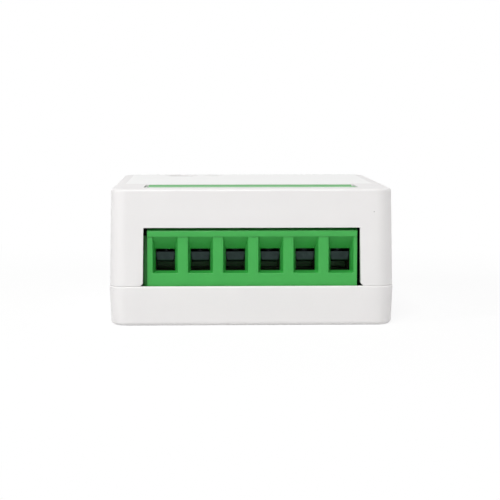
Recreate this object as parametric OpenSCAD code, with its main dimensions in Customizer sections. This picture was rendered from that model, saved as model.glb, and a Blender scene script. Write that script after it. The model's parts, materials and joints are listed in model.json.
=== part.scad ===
// Smart relay module: a two-shell snap case around one circuit board,
// with a row of screw terminals that shows in a window in the front wall
// and in a slot in the roof. The front faces -Y, and Z = 0 is the underside.

/* [Case] */
// Width of the case along its terminal side
case_w = 40.6; // [40.2:0.1:46]
// Depth of the case from the terminal side to the back
case_d = 44; // [43.6:0.2:52]
// Height of the case
case_h = 19.55; // [19.4:0.05:21.5]
// Height of the parting line between the two shells
part_z = 5.65; // [5.3:0.05:6.4]
// Wall thickness of both shells
wall = 1.6; // [1.5:0.05:1.75]
// Thickness of the bottom
floor_t = 1.6; // [1.2:0.1:1.8]
// Thickness of the roof
roof_t = 1.6; // [1.3:0.1:1.8]
// Radius of the four upright corners
corner_r = 2.6; // [2.4:0.1:3.4]
// Radius along the bottom edge
base_round = 0.8; // [0.6:0.1:1.8]
// How far each side leans in from the parting line to its far edge
draft = 0.25; // [0.05:0.05:0.3]
// How far the upper shell stands back from the lower one at the parting line
shell_step = 0.08; // [0:0.02:0.12]
// Width of the sloping border round the roof
bevel_w = 1.5; // [0.8:0.1:1.8]
// Drop of the sloping border round the roof
bevel_drop = 0.15; // [0.1:0.05:0.7]
// Radius that breaks the outer edge of the roof
edge_round = 0.5; // [0.15:0.05:0.5]
// Height of the lip that locates the shells on each other
lip_h = 1.2; // [0.9:0.1:1.6]
// Thickness of the lip
lip_t = 0.7; // [0.6:0.05:0.8]
// Length of each snap catch
catch_l = 4; // [2:0.5:6]
// How far each snap catch stands out of the lip
catch_d = 0.3; // [0.2:0.05:0.4]

/* [Terminal block] */
// Distance from one terminal to the next
pitch = 5; // [4.9:0.02:5.2]
// How far the row of terminals stands right of the block's middle
pole_shift = 0.2; // [0:0.05:0.25]
// How far the joining rib stands out of the block's left end
end_rib_w = 0.7; // [0.4:0.1:0.9]
// How far the terminal face stands back from the front wall
face_setback = 0.6; // [0.5:0.1:1.4]
// Height of the front window above the parting line
window_h = 8.3; // [8:0.05:8.8]
// Widening at the bottom corners of the front window
window_flare = 0.4; // [0.2:0.1:0.8]
// How far each side of the front window leans out towards its bottom
window_draft = 0.12; // [0:0.02:0.2]
// Gap between the terminal block and the case round it
slot_gap = 0.35; // [0.25:0.05:0.5]
// Distance from the front wall to the roof slot
roof_slot_y = 3; // [2.8:0.1:3.6]
// Depth of the roof slot, front to back
roof_slot_d = 7.6; // [7.4:0.1:8.2]
// How far the block's top lies below the roof
top_sink = 0; // [0:0.05:0.8]
// Width of the funnel in front of each wire entry
cell_w = 3.55; // [3.2:0.05:3.8]
// Height of the funnel in front of each wire entry
cell_h = 5.3; // [4.9:0.1:5.4]
// Height of the funnel's lower edge above the board
cell_z = 2.45; // [2.3:0.05:2.6]
// Depth of the funnel
funnel_d = 1.8; // [1.4:0.1:2]
// Width of the wire entry
entry_w = 2.76; // [2.5:0.02:2.9]
// Height of the wire entry
entry_h = 3.14; // [2.9:0.02:3.3]

/* [Terminals] */
// Outer diameter of the clamp screw's thread
screw_d = 2.5; // [2.2:0.1:2.6]
// Diameter of the clamp screw's head
head_d = 3.4; // [3.2:0.1:3.8]
// Height of the clamp screw's head
head_h = 1.5; // [1.2:0.1:1.8]
// Width of the driver slot
driver_w = 0.6; // [0.4:0.1:0.8]
// Depth of the driver slot
driver_t = 0.8; // [0.5:0.1:1]
// Height of the wire gap under the guard as delivered
wire_gap = 1.2; // [1.1:0.1:1.6]
// How far the guard still rises when the screw is undone
open_travel = 1.1; // [0.8:0.1:1.3]
// Gap that is left under the guard when the screw is fully down
closed_gap = 0.1; // [0.05:0.05:0.3]
// Thickness of the guard plate
guard_t = 0.4; // [0.3:0.05:0.5]
// Height of the guard's turned-up front
flap_h = 1.5; // [1.1:0.05:1.5]
// Sheet thickness of the contact frame
frame_t = 0.45; // [0.35:0.05:0.5]
// Depth of the contact frame, front to back
frame_d = 3.8; // [3.4:0.1:4.1]
// Thickness of the threaded plate on top of the contact frame
nut_t = 1.3; // [1:0.1:1.5]

/* [Board] */
// Thickness of the circuit board
board_t = 1.6; // [1.2:0.1:1.8]
// Gap between the board's edge and the case
board_gap = 0.3; // [0.2:0.05:0.5]
// Height of the posts under the board
post_h = 1.8; // [1.6:0.1:2]
// Diameter of the posts under the board
post_d = 3.6; // [3:0.1:4]
// Diameter of the pegs that locate the board
peg_d = 1.6; // [1.2:0.1:1.8]
// How far the leads stand out under the board
lead_out = 1.2; // [0.9:0.1:1.3]

/* [Relay] */
// Length of the relay
relay_l = 17.6; // [17.2:0.1:18]
// Width of the relay
relay_w = 10.1; // [9.8:0.1:10.4]
// Height of the relay
relay_h = 10.8; // [10.4:0.1:12.4]
// Wall thickness of the relay's cover
relay_wall = 0.6; // [0.4:0.05:0.7]
// Thickness of the relay's base
relay_base_t = 1.4; // [1.2:0.1:1.5]
// Swing of the armature, in degrees
armature_swing = 4; // [3:0.5:4]

/* [Button and light] */
// Diameter of the pairing button
button_d = 4; // [3:0.1:5]
// Travel of the pairing button
button_travel = 0.3; // [0.2:0.05:0.35]
// Diameter of the light pipe
pipe_d = 2; // [1.5:0.1:2.5]
// Height of the push switch with its plunger
switch_h = 7; // [6:0.5:9]

/* [Hidden] */
$fn = 48;
poles = 6;

// Fits that several pieces share
run_gap = 0.1;
shaft_gap = 0.05;
touch_gap = 0.02;
over = 1;
sector_reach = 1.5;

// Case
front_y = -case_d / 2;
inner_w = case_w - 2 * wall;
inner_d = case_d - 2 * wall;
inner_r = corner_r - wall;
upper_r = corner_r - shell_step;
roof_z = case_h - roof_t;
lip_inset = 0.15;
lip_fit = 0.1;
catch_h = 0.6;
catch_root = 0.1;
catch_nose = 0.2;
catch_y = inner_d / 4;
rib_d = 1.2;
rib_t = 1.4;

// Board
board_w = inner_w - 2 * board_gap;
board_d = inner_d - 2 * board_gap;
board_z = floor_t + post_h;
board_top = board_z + board_t;
board_left = -board_w / 2;
board_right = board_w / 2;
board_back = board_d / 2;
lead_z = board_z - lead_out;
post_edge = 2;
post_x = board_w / 2 - post_edge;
post_y = board_d / 2 - post_edge;
hole_gap = 0.3;

// Terminal block
block_w = poles * pitch;
face_y = front_y + face_setback;
block_back = front_y + roof_slot_y + roof_slot_d - slot_gap;
block_neck = front_y + roof_slot_y + slot_gap;
block_top = case_h - top_sink;
block_wall = 0.8;
window_w = block_w + 2 * slot_gap;
window_foot = window_w / 2 + window_draft;
flare_x = window_foot + window_flare;
window_top = part_z + window_h;
cell_floor = board_top + cell_z;
cell_top = cell_floor + cell_h;
brow_z = window_top - slot_gap;
lean_gap = 0.3;
brow_y = front_y + wall + lean_gap;
shoulder_gap = 0.8;
shoulder_z = roof_z - shoulder_gap;
entry_rise = 0.23;
entry_floor = cell_floor + entry_rise;
entry_top = entry_floor + entry_h;
entry_land = 0.3;
cavity_side = 0.52;
cavity_w = entry_w + 2 * cavity_side;
cavity_y = face_y + funnel_d + entry_land;
cavity_back = block_back - block_wall;

// Terminals
screw_y = cavity_back - run_gap - frame_d / 2;
guard_z = entry_floor + wire_gap;
guard_top = guard_z + guard_t;
guard_tail = 1.6;
flap_gap = 0.15;
flap_side = 0.17;
close_travel = wire_gap - closed_gap;
frame_w = cavity_w - 2 * run_gap;
frame_in_w = frame_w - 2 * frame_t;
frame_floor = entry_floor - run_gap;
frame_z = frame_floor - frame_t;
nut_gap = 0.3;
nut_z = guard_top + open_travel + nut_gap;
nut_top = nut_z + nut_t;
cavity_top = max(nut_top, guard_z + flap_h + open_travel) + run_gap;
head_clear = 0.8;
head_z = block_top - head_clear - open_travel - head_h;
well_gap = 0.2;
well_z = head_z - close_travel - well_gap;
well_side = 0.15;
well_d = head_d + 2 * well_side;
shank_side = 0.2;
screw_chamfer = 0.3;
head_chamfer = 0.25;
frame_pin_d = 1;

// Gaps between the parts on the board
part_gap = 0.3;
chip_gap = 0.5;
edge_gap = 0.7;
front_gap = 0.6;
rib_reach = rib_d - board_gap;

// Relay
relay_x = board_left + rib_reach + edge_gap + relay_w / 2;
relay_y = block_back + front_gap + part_gap;
relay_right = relay_x + relay_w / 2;
relay_zb = board_top + relay_base_t;
relay_in_w = relay_w - 2 * relay_wall - 2 * run_gap;
relay_in_l = relay_l - 2 * relay_wall - 2 * run_gap;
iron_t = 1;
yoke_side = 1.85;
yoke_w = relay_w - 2 * yoke_side;
yoke_back = 0.7;
yoke_y = relay_y + relay_wall + yoke_back;
coil_lift = 2.2;
coil_head = 0.3;
coil_flange = relay_h - relay_wall - relay_base_t - coil_lift - run_gap - iron_t - coil_head;
coil_flange_t = 0.6;
coil_zc = relay_zb + coil_lift + coil_flange / 2;
coil_y = yoke_y + iron_t;
contact_room = 8.9;
coil_l = relay_l - contact_room;
wind_margin = 0.2;
coil_tube_d = 3.2;
core_d = 2.4;
pole_d = 4;
pole_t = 0.4;
pole_face = coil_y + coil_l + pole_t;
yoke_top = coil_zc + coil_flange / 2 + run_gap + iron_t;
pivot_drop = 0.2;
pivot_z = yoke_top - pivot_drop;
armature_w = yoke_w - 4 * run_gap;
armature_gap = (pivot_z - coil_zc + pole_d / 2) * tan(armature_swing) + run_gap;
armature_t = 0.9;
armature_lift = 1;
armature_y = pole_face + armature_gap;
yoke_end = armature_y - run_gap - shaft_gap;
blade_t = 0.25;
blade_w = 3;
blade_drop = 1.5;
blade_y = armature_y + armature_t;
contact_d = 1.6;
contact_t = 0.4;
contact_lift = 1.2;
contact_z = relay_zb + contact_lift;
contact_stroke = (pivot_z - contact_z) * sin(armature_swing);
open_contact_y = blade_y - contact_t - contact_stroke - shaft_gap;
closed_contact_y = blade_y + blade_t + contact_t + shaft_gap;
post_t = 0.4;
relay_pin_d = 1;
coil_pin_d = 0.6;
coil_pin_side = 0.5;
coil_pin_x = yoke_w / 2 + coil_pin_side;
coil_pin_back = 1.5;
coil_pin_y = coil_y + coil_pin_back;

// Push switch, button and light
switch_w = 6;
switch_left = 5;
switch_back = 1.2;
switch_x = board_left + switch_left + switch_w / 2;
switch_y = board_back - switch_back - switch_w / 2;
switch_body_h = 3.4;
switch_frame_t = 0.25;
switch_leg_x = 2.4;
switch_leg_d = 0.6;
plunger_d = 3.4;
plunger_flange_d = 4.4;
plunger_flange_t = 0.75;
plunger_z = board_top + switch_body_h - plunger_flange_t - touch_gap;
plunger_top = board_top + switch_h;
dome_h = 0.4;
dome_t = 0.1;
dome_crown_r = 0.7;
pocket_floor = plunger_z - button_travel - run_gap - dome_h;
button_sink = 0.1;
button_top = case_h - button_sink;
button_flange = 0.8;
button_flange_t = 0.8;
button_stem = 0.7;
led_w = 1.6;
led_l = 3.2;
led_h = 1.1;
led_rim = 0.15;
led_end = 0.6;
led_gap = 1.4;
led_x = switch_x + switch_w / 2 + led_gap + led_w / 2;
led_y = switch_y;
pipe_gap = 0.3;
pipe_flange = 0.6;
pipe_flange_t = 0.8;

// First row behind the terminal block: varistor and fuse resistor
disc_d = 7;
disc_t = 3.4;
disc_lift = 0.8;
disc_lead_x = 2.5;
fuse_d = 2.6;
fuse_l = 6.5;
fuse_lift = 0.2;
fuse_lead_x = 5;
thin_lead_d = 0.6;
fuse_span = 2 * fuse_lead_x + thin_lead_d;
row_right = board_right - rib_reach - part_gap;
row_slack = (row_right - relay_right - disc_d - fuse_span) / 3;
row_y = block_back + front_gap + disc_t / 2;
row_back = row_y + disc_t / 2;
disc_x = relay_right + row_slack + disc_d / 2;
disc_zc = board_top + disc_lift + disc_d / 2;
fuse_x = row_right - row_slack - fuse_span / 2;
fuse_z = board_top + fuse_lift + fuse_d / 2;

// Chips: sizes of the moulded bodies, and how far their leads reach
chip_lead_t = 0.2;
chip_lead_w = 0.45;
chip_lift = 0.1;
chip_l = 2;
chip_w = 1.25;
chip_h = 0.55;
chip_cap_h = 0.85;
chip_step = 2;
bridge_size = [3.9, 4.7, 2.4];
bridge_reach = 1;
controller_size = [4.9, 3.9, 1.5];
controller_reach = 0.9;
regulator_size = [2.5, 4.5, 1.5];
regulator_reach = 0.8;
transistor_size = [2.9, 1.3, 1];
diode_size = [2.7, 1.6, 1.1];
small_reach = 0.6;

function lead_half(size, reach) = size.y / 2 + reach - chip_lead_t;

// Second row: rectifier, inductor, a column of chips and the bulk capacitor
bulk_d = 6.3;
bulk_h = 10.5;
bulk_x = board_right - edge_gap - bulk_d / 2;
bulk_y = row_back + part_gap + bulk_d / 2;
bulk_lead_x = 1.25;
sleeve_t = 0.2;
sleeve_lip = 0.6;
can_lead_d = 0.6;
bridge_at = [relay_right + chip_gap + bridge_size.x / 2,
    row_back + part_gap + lead_half(bridge_size, bridge_reach)];
coil_d = 6;
coil_h = 9;
coil_slack = (bulk_x - bulk_d / 2 - bridge_at.x - bridge_size.x / 2 - coil_d - chip_l) / 3;
coil_x = bridge_at.x + bridge_size.x / 2 + coil_slack + coil_d / 2;
coil_mid_y = row_back + part_gap + coil_d / 2;
coil_waist_d = 3;
coil_rim_t = 1.2;
coil_wind_margin = 0.3;
coil_lead_x = 2;
chip_x = bulk_x - bulk_d / 2 - coil_slack - chip_l / 2;

// Third row: regulator, controller, relay driver and output capacitor
output_d = 5;
output_h = 8;
output_x = board_right - edge_gap - output_d / 2;
output_y = bulk_y + bulk_d / 2 + part_gap + output_d / 2;
output_lead_x = 1;
controller_at = [coil_x, coil_mid_y + coil_d / 2 + part_gap + lead_half(controller_size, controller_reach)];
regulator_at = [bridge_at.x, bridge_at.y + lead_half(bridge_size, bridge_reach) + part_gap
    + lead_half(regulator_size, regulator_reach)];
driver_x = (controller_at.x + controller_size.x / 2 + output_x - output_d / 2) / 2;
diode_at = [driver_x, bulk_y + bulk_d / 2 + part_gap + lead_half(diode_size, small_reach)];
transistor_at = [driver_x, diode_at.y + lead_half(diode_size, small_reach) + part_gap
    + lead_half(transistor_size, small_reach)];

// Radio module
radio_w = 15.4;
radio_d = 9.2;
radio_t = 0.8;
radio_x = row_right - radio_w / 2;
radio_y = board_back - part_gap - radio_d / 2;
radio_top = board_top + radio_t;
shield_rim = 0.4;
shield_w = 9.6;
shield_d = radio_d - 2 * shield_rim;
shield_h = 2.2;
shield_t = 0.2;
shield_x = radio_x - radio_w / 2 + shield_rim + shield_w / 2;
radio_chip_w = 5;
radio_chip_h = 0.9;
antenna_t = 0.1;
antenna_w = 0.5;
antenna_turns = 4;
antenna_step = 1.1;
antenna_l = radio_d - 4 * shield_rim;
antenna_x = shield_x + shield_w / 2 + 2 * shield_rim;

// Solder and the slot that keeps mains tracks apart
solder_h = 0.8;
solder_tip = 0.4;
solder_foot = 1.2;
slit_w = 0.8;
slit_x = relay_right + slit_w / 2;
slit_l = relay_l / 3;

function pole_x(i) = (i - (poles + 1) / 2) * pitch + pole_shift;

// Each lead that goes through the board, as x, y and diameter
frame_pins = [for (i = [1:poles]) [pole_x(i), screw_y, frame_pin_d]];
relay_leads = [
    [relay_x - coil_pin_x, coil_pin_y, coil_pin_d],
    [relay_x + coil_pin_x, coil_pin_y, coil_pin_d],
    [relay_x, yoke_y + iron_t / 2, relay_pin_d],
    [relay_x, open_contact_y - contact_t - post_t / 2, relay_pin_d],
    [relay_x, closed_contact_y + contact_t + post_t / 2, relay_pin_d]
];
switch_legs_at = [for (sx = [-1, 1], sy = [-1, 1])
    [switch_x + sx * switch_leg_x, switch_y + sy * switch_leg_x, switch_leg_d]];
can_leads = concat(
    [for (s = [-1, 1]) [bulk_x + s * bulk_lead_x, bulk_y, can_lead_d]],
    [for (s = [-1, 1]) [output_x + s * output_lead_x, output_y, can_lead_d]],
    [for (s = [-1, 1]) [coil_x + s * coil_lead_x, coil_mid_y, can_lead_d]]
);
disc_leads = [for (s = [-1, 1]) [disc_x + s * disc_lead_x, row_y, thin_lead_d]];
fuse_leads = [for (s = [-1, 1]) [fuse_x + s * fuse_lead_x, row_y, thin_lead_d]];
board_leads = concat(frame_pins, relay_leads, switch_legs_at, can_leads, disc_leads, fuse_leads);

led_chip_y = led_l / 2 + chip_gap + chip_w / 2;
switch_chip_x = switch_x - switch_w / 2 - part_gap - chip_l / 2;
chip_resistors_at = [
    [led_x, led_y - led_chip_y], [led_x, led_y + led_chip_y],
    [chip_x, bulk_y - chip_step], [chip_x, bulk_y + chip_step]
];
chip_capacitors_at = [
    [chip_x, bulk_y], [switch_chip_x, switch_y - chip_step / 2], [switch_chip_x, switch_y + chip_step / 2]
];

// Shapes that several pieces use

// A cuboid centred on the Z axis, from z up to z + h
module block_at(w, d, h, z) translate([-w / 2, -d / 2, z]) cube([w, d, h]);

// An upright round bar from z0 to z1
module bar(d, z0, z1) translate([0, 0, z0]) cylinder(d = d, h = z1 - z0);

// A round bar along Y from y0 to y1
module bar_y(d, y0, y1) translate([0, y0, 0]) rotate([-90, 0, 0]) cylinder(d = d, h = y1 - y0);

function unit(v) = v / norm(v);

// Tangent points and centre of a circle of radius r in the corner a, v, b
function fillet(a, v, b, r) =
    let (u = unit(a - v), w = unit(b - v), half = acos(u * w) / 2)
    [v + u * r / tan(half), v + unit(u + w) * r / sin(half), v + w * r / tan(half)];

// A convex outline whose corners with a radius are true arcs
module rounded_outline(points, radii) {
    n = len(points);
    arcs = [for (i = [0:n - 1]) radii[i] == 0 ? [] :
        fillet(points[(i + n - 1) % n], points[i], points[(i + 1) % n], radii[i])];
    polygon([for (i = [0:n - 1]) each radii[i] == 0 ? [points[i]] : arcs[i]]);
    for (i = [0:n - 1]) if (radii[i] > 0) {
        c = arcs[i][1];
        intersection() {
            translate(c) circle(r = radii[i]);
            polygon([c, for (p = [arcs[i][0], points[i], arcs[i][2]]) c + sector_reach * (p - c)]);
        }
    }
}

// Carries a half outline, drawn outwards from the corner axis, round a rectangle with corner radius r
module swept_rim(w, d, r, z0, z1) {
    run_x = w - 2 * r;
    run_y = d - 2 * r;
    for (i = [0:3]) {
        sx = i == 0 || i == 3 ? 1 : -1;
        sy = i < 2 ? 1 : -1;
        run = i % 2 == 0 ? run_y : run_x;
        out = i % 2 == 0 ? run_x / 2 : run_y / 2;
        translate([sx * run_x / 2, sy * run_y / 2, 0])
            rotate([0, 0, 90 * i]) rotate_extrude(angle = 90) children();
        rotate([0, 0, 90 * i]) translate([out, 0, 0])
            rotate([90, 0, 0]) linear_extrude(height = run, center = true) children();
    }
    block_at(run_x, run_y, z1 - z0, z0);
}

// A cuboid with rounded upright corners
module rounded_block(w, d, r, z0, z1)
    swept_rim(w, d, r, z0, z1) translate([0, z0]) square([r, z1 - z0]);

// Case

module upper_outer()
    swept_rim(case_w, case_d, corner_r, part_z, case_h)
        rounded_outline(
            [[0, part_z], [upper_r, part_z], [upper_r - draft, case_h - bevel_drop],
             [upper_r - draft - bevel_w, case_h], [0, case_h]],
            [0, 0, edge_round, 0, 0]);

module lower_outer()
    swept_rim(case_w, case_d, corner_r, 0, part_z)
        rounded_outline(
            [[0, 0], [corner_r - draft, 0], [corner_r, part_z], [0, part_z]],
            [0, base_round, 0, 0]);

// The locating lip on the two sides and the back, grown by a fit all round
module lip(fit) {
    grown_w = inner_w + 2 * (lip_t + fit);
    grown_d = inner_d + 2 * (lip_t + fit);
    hollow = lip_inset - fit;
    difference() {
        rounded_block(grown_w, grown_d, inner_r + lip_t + fit, part_z, part_z + lip_h + fit);
        translate([0, 0, -over])
            rounded_block(inner_w + 2 * hollow, inner_d + 2 * hollow, inner_r + hollow,
                part_z, part_z + lip_h + 3 * over);
        translate([-case_w / 2, front_y, part_z - over])
            cube([case_w, wall + corner_r - fit, lip_h + 3 * over]);
    }
}

// Wedge-shaped catches on the lip's outer faces
module catches(fit) {
    face = inner_w / 2 + lip_t - catch_root;
    reach = catch_d + catch_root + fit;
    z = part_z + lip_h / 2 - catch_h / 2;
    for (sx = [-1, 1], sy = [-1, 1])
        translate([sx * face, sy * catch_y + catch_l / 2 + fit, 0])
            mirror([sx < 0 ? 1 : 0, 0, 0]) rotate([90, 0, 0])
                linear_extrude(height = catch_l + 2 * fit)
                    polygon([
                        [0, z - fit], [reach, z - fit],
                        [reach, z + catch_nose + fit], [0, z + catch_h + fit]]);
}

module upper_shell() color("whitesmoke") {
    difference() {
        upper_outer();
        rounded_block(inner_w, inner_d, inner_r, part_z - over, roof_z);
        lip(lip_fit);
        catches(lip_fit);
        front_window();
        roof_slot();
        translate([switch_x, switch_y]) bar(button_d + 2 * run_gap, roof_z - over, case_h + over);
        translate([led_x, led_y]) bar(pipe_d + 2 * touch_gap, roof_z - over, case_h + over);
    }
    for (sx = [-1, 1], y = [row_y, radio_y])
        translate([sx * (inner_w - rib_d) / 2, y]) block_at(rib_d, rib_t, roof_z - board_top, board_top);
}

module front_window()
    translate([0, front_y + wall + corner_r, 0]) rotate([90, 0, 0])
        linear_extrude(height = wall + corner_r + over)
            polygon([
                [-flare_x, part_z - over], [flare_x, part_z - over], [flare_x, part_z],
                [window_foot, part_z + window_flare], [window_w / 2, window_top],
                [-window_w / 2, window_top], [-window_foot, part_z + window_flare], [-flare_x, part_z]]);

module roof_slot()
    translate([-window_w / 2, front_y + roof_slot_y, roof_z - over])
        cube([window_w, roof_slot_d, roof_t + 2 * over]);

// A step inside the front rim that the foot of the terminal block stands in
module block_seat()
    translate([-window_w / 2, face_y - run_gap, board_top - run_gap])
        cube([window_w, wall + over, part_z - board_top + over]);

module lower_shell() color("whitesmoke") {
    difference() {
        lower_outer();
        rounded_block(inner_w, inner_d, inner_r, floor_t, part_z + over);
        block_seat();
    }
    lip(0);
    intersection() {
        catches(0);
        translate([0, 0, part_z]) block_at(case_w, case_d, lip_h, 0);
    }
    for (sx = [-1, 1], sy = [-1, 1]) translate([sx * post_x, sy * post_y]) {
        bar(post_d, floor_t - run_gap, board_z);
        bar(peg_d, floor_t, board_top - 2 * run_gap);
    }
}

// Board

module main_board() color("darkgreen") difference() {
    block_at(board_w, board_d, board_t, board_z);
    for (sx = [-1, 1], sy = [-1, 1]) translate([sx * post_x, sy * post_y])
        bar(peg_d + hole_gap, board_z - over, board_top + over);
    for (p = board_leads) translate([p.x, p.y]) bar(p.z + hole_gap, board_z - over, board_top + over);
    translate([slit_x, relay_y + relay_l / 2])
        block_at(slit_w, slit_l, board_t + 2 * over, board_z - over);
}

module solder_joints() color("silver")
    for (p = board_leads) translate([p.x, p.y]) difference() {
        translate([0, 0, board_z - solder_h])
            cylinder(d1 = p.z + solder_tip, d2 = p.z + solder_foot, h = solder_h);
        bar(p.z + 2 * touch_gap, board_z - over, board_z + over);
    }

// Terminal block

module terminal_block() color("mediumseagreen") difference() {
    union() {
        rotate([90, 0, 90]) linear_extrude(height = block_w, center = true)
            polygon([
                [face_y, board_top], [block_back, board_top], [block_back, block_top],
                [block_neck, block_top], [block_neck, shoulder_z], [brow_y, brow_z], [face_y, brow_z]]);
        translate([-block_w / 2 - end_rib_w, brow_y, board_top])
            cube([end_rib_w + run_gap, block_neck - brow_y, cell_top - board_top]);
    }
    for (i = [1:poles]) translate([pole_x(i), 0, 0]) {
        wire_funnel();
        translate([-entry_w / 2, face_y + funnel_d - run_gap, entry_floor])
            cube([entry_w, entry_land + 2 * run_gap, entry_h]);
        translate([-cavity_w / 2, cavity_y, board_top - over])
            cube([cavity_w, cavity_back - cavity_y, cavity_top - board_top + over]);
        translate([0, screw_y]) {
            bar(screw_d + 2 * shank_side, cavity_top - run_gap, well_z + run_gap);
            bar(well_d, well_z, block_top + over);
        }
    }
}

// The four-sided funnel: a side outline and a plan outline, crossed
module wire_funnel() {
    inner_y = face_y + funnel_d;
    intersection() {
        rotate([90, 0, 90]) linear_extrude(height = 2 * cell_w, center = true)
            polygon([
                [face_y - over, cell_floor], [face_y, cell_floor], [inner_y, entry_floor],
                [inner_y, entry_top], [face_y, cell_top], [face_y - over, cell_top]]);
        linear_extrude(height = block_top)
            polygon([
                [-cell_w / 2, face_y - over], [cell_w / 2, face_y - over], [cell_w / 2, face_y],
                [entry_w / 2, inner_y], [-entry_w / 2, inner_y], [-cell_w / 2, face_y]]);
    }
}

module contact_frames() color("silver")
    for (i = [1:poles]) translate([pole_x(i), screw_y]) {
        difference() {
            block_at(frame_w, frame_d, nut_top - frame_z, frame_z);
            block_at(frame_in_w, frame_d + over, nut_z - frame_floor, frame_floor);
            bar(screw_d + 2 * shaft_gap, nut_z - run_gap, nut_top + over);
        }
        bar(frame_pin_d, lead_z, frame_z + run_gap);
    }

module wire_guard(i) color("gainsboro") translate([pole_x(i), 0, 0]) {
    flap_y = cavity_y + flap_gap;
    plate_w = frame_in_w - 2 * run_gap;
    flap_w = entry_w + 2 * flap_side;
    translate([-plate_w / 2, flap_y, guard_z]) cube([plate_w, screw_y + guard_tail - flap_y, guard_t]);
    translate([-flap_w / 2, flap_y, guard_z]) cube([flap_w, guard_t, flap_h]);
}

module terminal_screw(i) color("silver") translate([pole_x(i), screw_y]) difference() {
    r = screw_d / 2;
    head_r = head_d / 2;
    head_top = head_z + head_h;
    rotate_extrude() polygon([
        [0, guard_top], [r - screw_chamfer, guard_top], [r, guard_top + screw_chamfer], [r, head_z],
        [head_r, head_z], [head_r, head_top - head_chamfer], [head_r - head_chamfer, head_top],
        [0, head_top]]);
    block_at(driver_w, head_d + over, driver_t + over, head_top - driver_t);
}

// Button, light and push switch

module pairing_button() color("whitesmoke") translate([switch_x, switch_y]) {
    bar(button_d, roof_z - button_flange_t, button_top);
    bar(button_d + 2 * button_flange, roof_z - button_flange_t, roof_z);
    bar(button_d - 2 * button_stem, plunger_top, roof_z);
}

module light_pipe() color("aliceblue") translate([led_x, led_y]) {
    bar(pipe_d, board_top + led_h + pipe_gap, button_top);
    bar(pipe_d + 2 * pipe_flange, roof_z - pipe_flange_t, roof_z);
}

module status_led() color("ivory") translate([led_x, led_y]) {
    block_at(led_w, led_l, led_h / 2, board_top);
    block_at(led_w - 2 * led_rim, led_l - 2 * led_end, led_h, board_top);
}

module switch_body() color("dimgray") translate([switch_x, switch_y]) difference() {
    block_at(switch_w, switch_w, switch_body_h, board_top);
    bar(plunger_flange_d + 2 * run_gap, pocket_floor, board_top + switch_body_h + over);
}

// A snapped metal dome: a sloping ring under a flat crown
module switch_dome() color("silver") translate([switch_x, switch_y]) {
    r = plunger_flange_d / 2 - run_gap;
    crown_z = pocket_floor + dome_h;
    rotate_extrude() polygon([
        [0, crown_z - dome_t], [dome_crown_r, crown_z - dome_t], [r - dome_t, pocket_floor],
        [r, pocket_floor], [dome_crown_r, crown_z], [0, crown_z]]);
}

module switch_frame() color("silver") translate([switch_x, switch_y]) difference() {
    block_at(switch_w, switch_w, switch_frame_t, board_top + switch_body_h);
    bar(plunger_d + 2 * run_gap, board_top, board_top + 2 * switch_body_h);
}

module switch_plunger() color("black") translate([switch_x, switch_y]) {
    bar(plunger_flange_d, plunger_z, plunger_z + plunger_flange_t);
    bar(plunger_d, plunger_z, plunger_top);
}

module switch_legs() color("silver")
    for (p = switch_legs_at) translate([p.x, p.y]) bar(p.z, lead_z, board_top);

// Relay

module relay_cover() color("black") translate([relay_x, relay_y + relay_l / 2]) difference() {
    block_at(relay_w, relay_l, relay_h, board_top);
    block_at(relay_w - 2 * relay_wall, relay_l - 2 * relay_wall,
        relay_h - relay_wall + over, board_top - over);
}

module relay_base() color("black") difference() {
    translate([relay_x, relay_y + relay_l / 2]) block_at(relay_in_w, relay_in_l, relay_base_t, board_top);
    for (p = relay_leads) translate([p.x, p.y])
        bar(p.z + 2 * shaft_gap, board_top - over, relay_zb + over);
}

module relay_bobbin() color("ivory") translate([relay_x, 0, coil_zc]) difference() {
    union() {
        bar_y(coil_tube_d, coil_y, coil_y + coil_l);
        for (y = [coil_y, coil_y + coil_l - coil_flange_t]) translate([0, y + coil_flange_t / 2, 0])
            cube([coil_flange, coil_flange_t, coil_flange], center = true);
    }
    bar_y(core_d + 2 * touch_gap, coil_y - over, coil_y + coil_l + over);
}

module relay_winding() color("peru") translate([relay_x, 0, coil_zc]) difference() {
    y0 = coil_y + coil_flange_t;
    y1 = coil_y + coil_l - coil_flange_t;
    bar_y(coil_flange - 2 * wind_margin, y0, y1);
    bar_y(coil_tube_d + 2 * touch_gap, y0 - over, y1 + over);
}

module relay_core() color("slategray") translate([relay_x, 0, coil_zc]) {
    bar_y(core_d, coil_y, pole_face);
    bar_y(pole_d, pole_face - pole_t, pole_face);
}

module relay_yoke() color("slategray") translate([relay_x, 0, 0]) {
    translate([-yoke_w / 2, yoke_y, relay_zb]) cube([yoke_w, iron_t, yoke_top - relay_zb]);
    translate([-yoke_w / 2, yoke_y, yoke_top - iron_t]) cube([yoke_w, yoke_end - yoke_y, iron_t]);
    translate([0, yoke_y + iron_t / 2]) bar(relay_pin_d - touch_gap, lead_z, relay_zb + run_gap);
}

module relay_armature() color("slategray") {
    z0 = contact_z + contact_d / 2 + armature_lift;
    translate([relay_x - armature_w / 2, armature_y, z0]) cube([armature_w, armature_t, yoke_top - z0]);
}

module relay_moving_contact() color("goldenrod") translate([relay_x, 0, 0]) {
    z0 = contact_z - contact_d / 2 - shaft_gap;
    translate([-blade_w / 2, blade_y, z0]) cube([blade_w, blade_t, pivot_z - blade_drop - z0]);
    translate([0, 0, contact_z]) bar_y(contact_d, blade_y - contact_t, blade_y + blade_t + contact_t);
}

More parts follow.
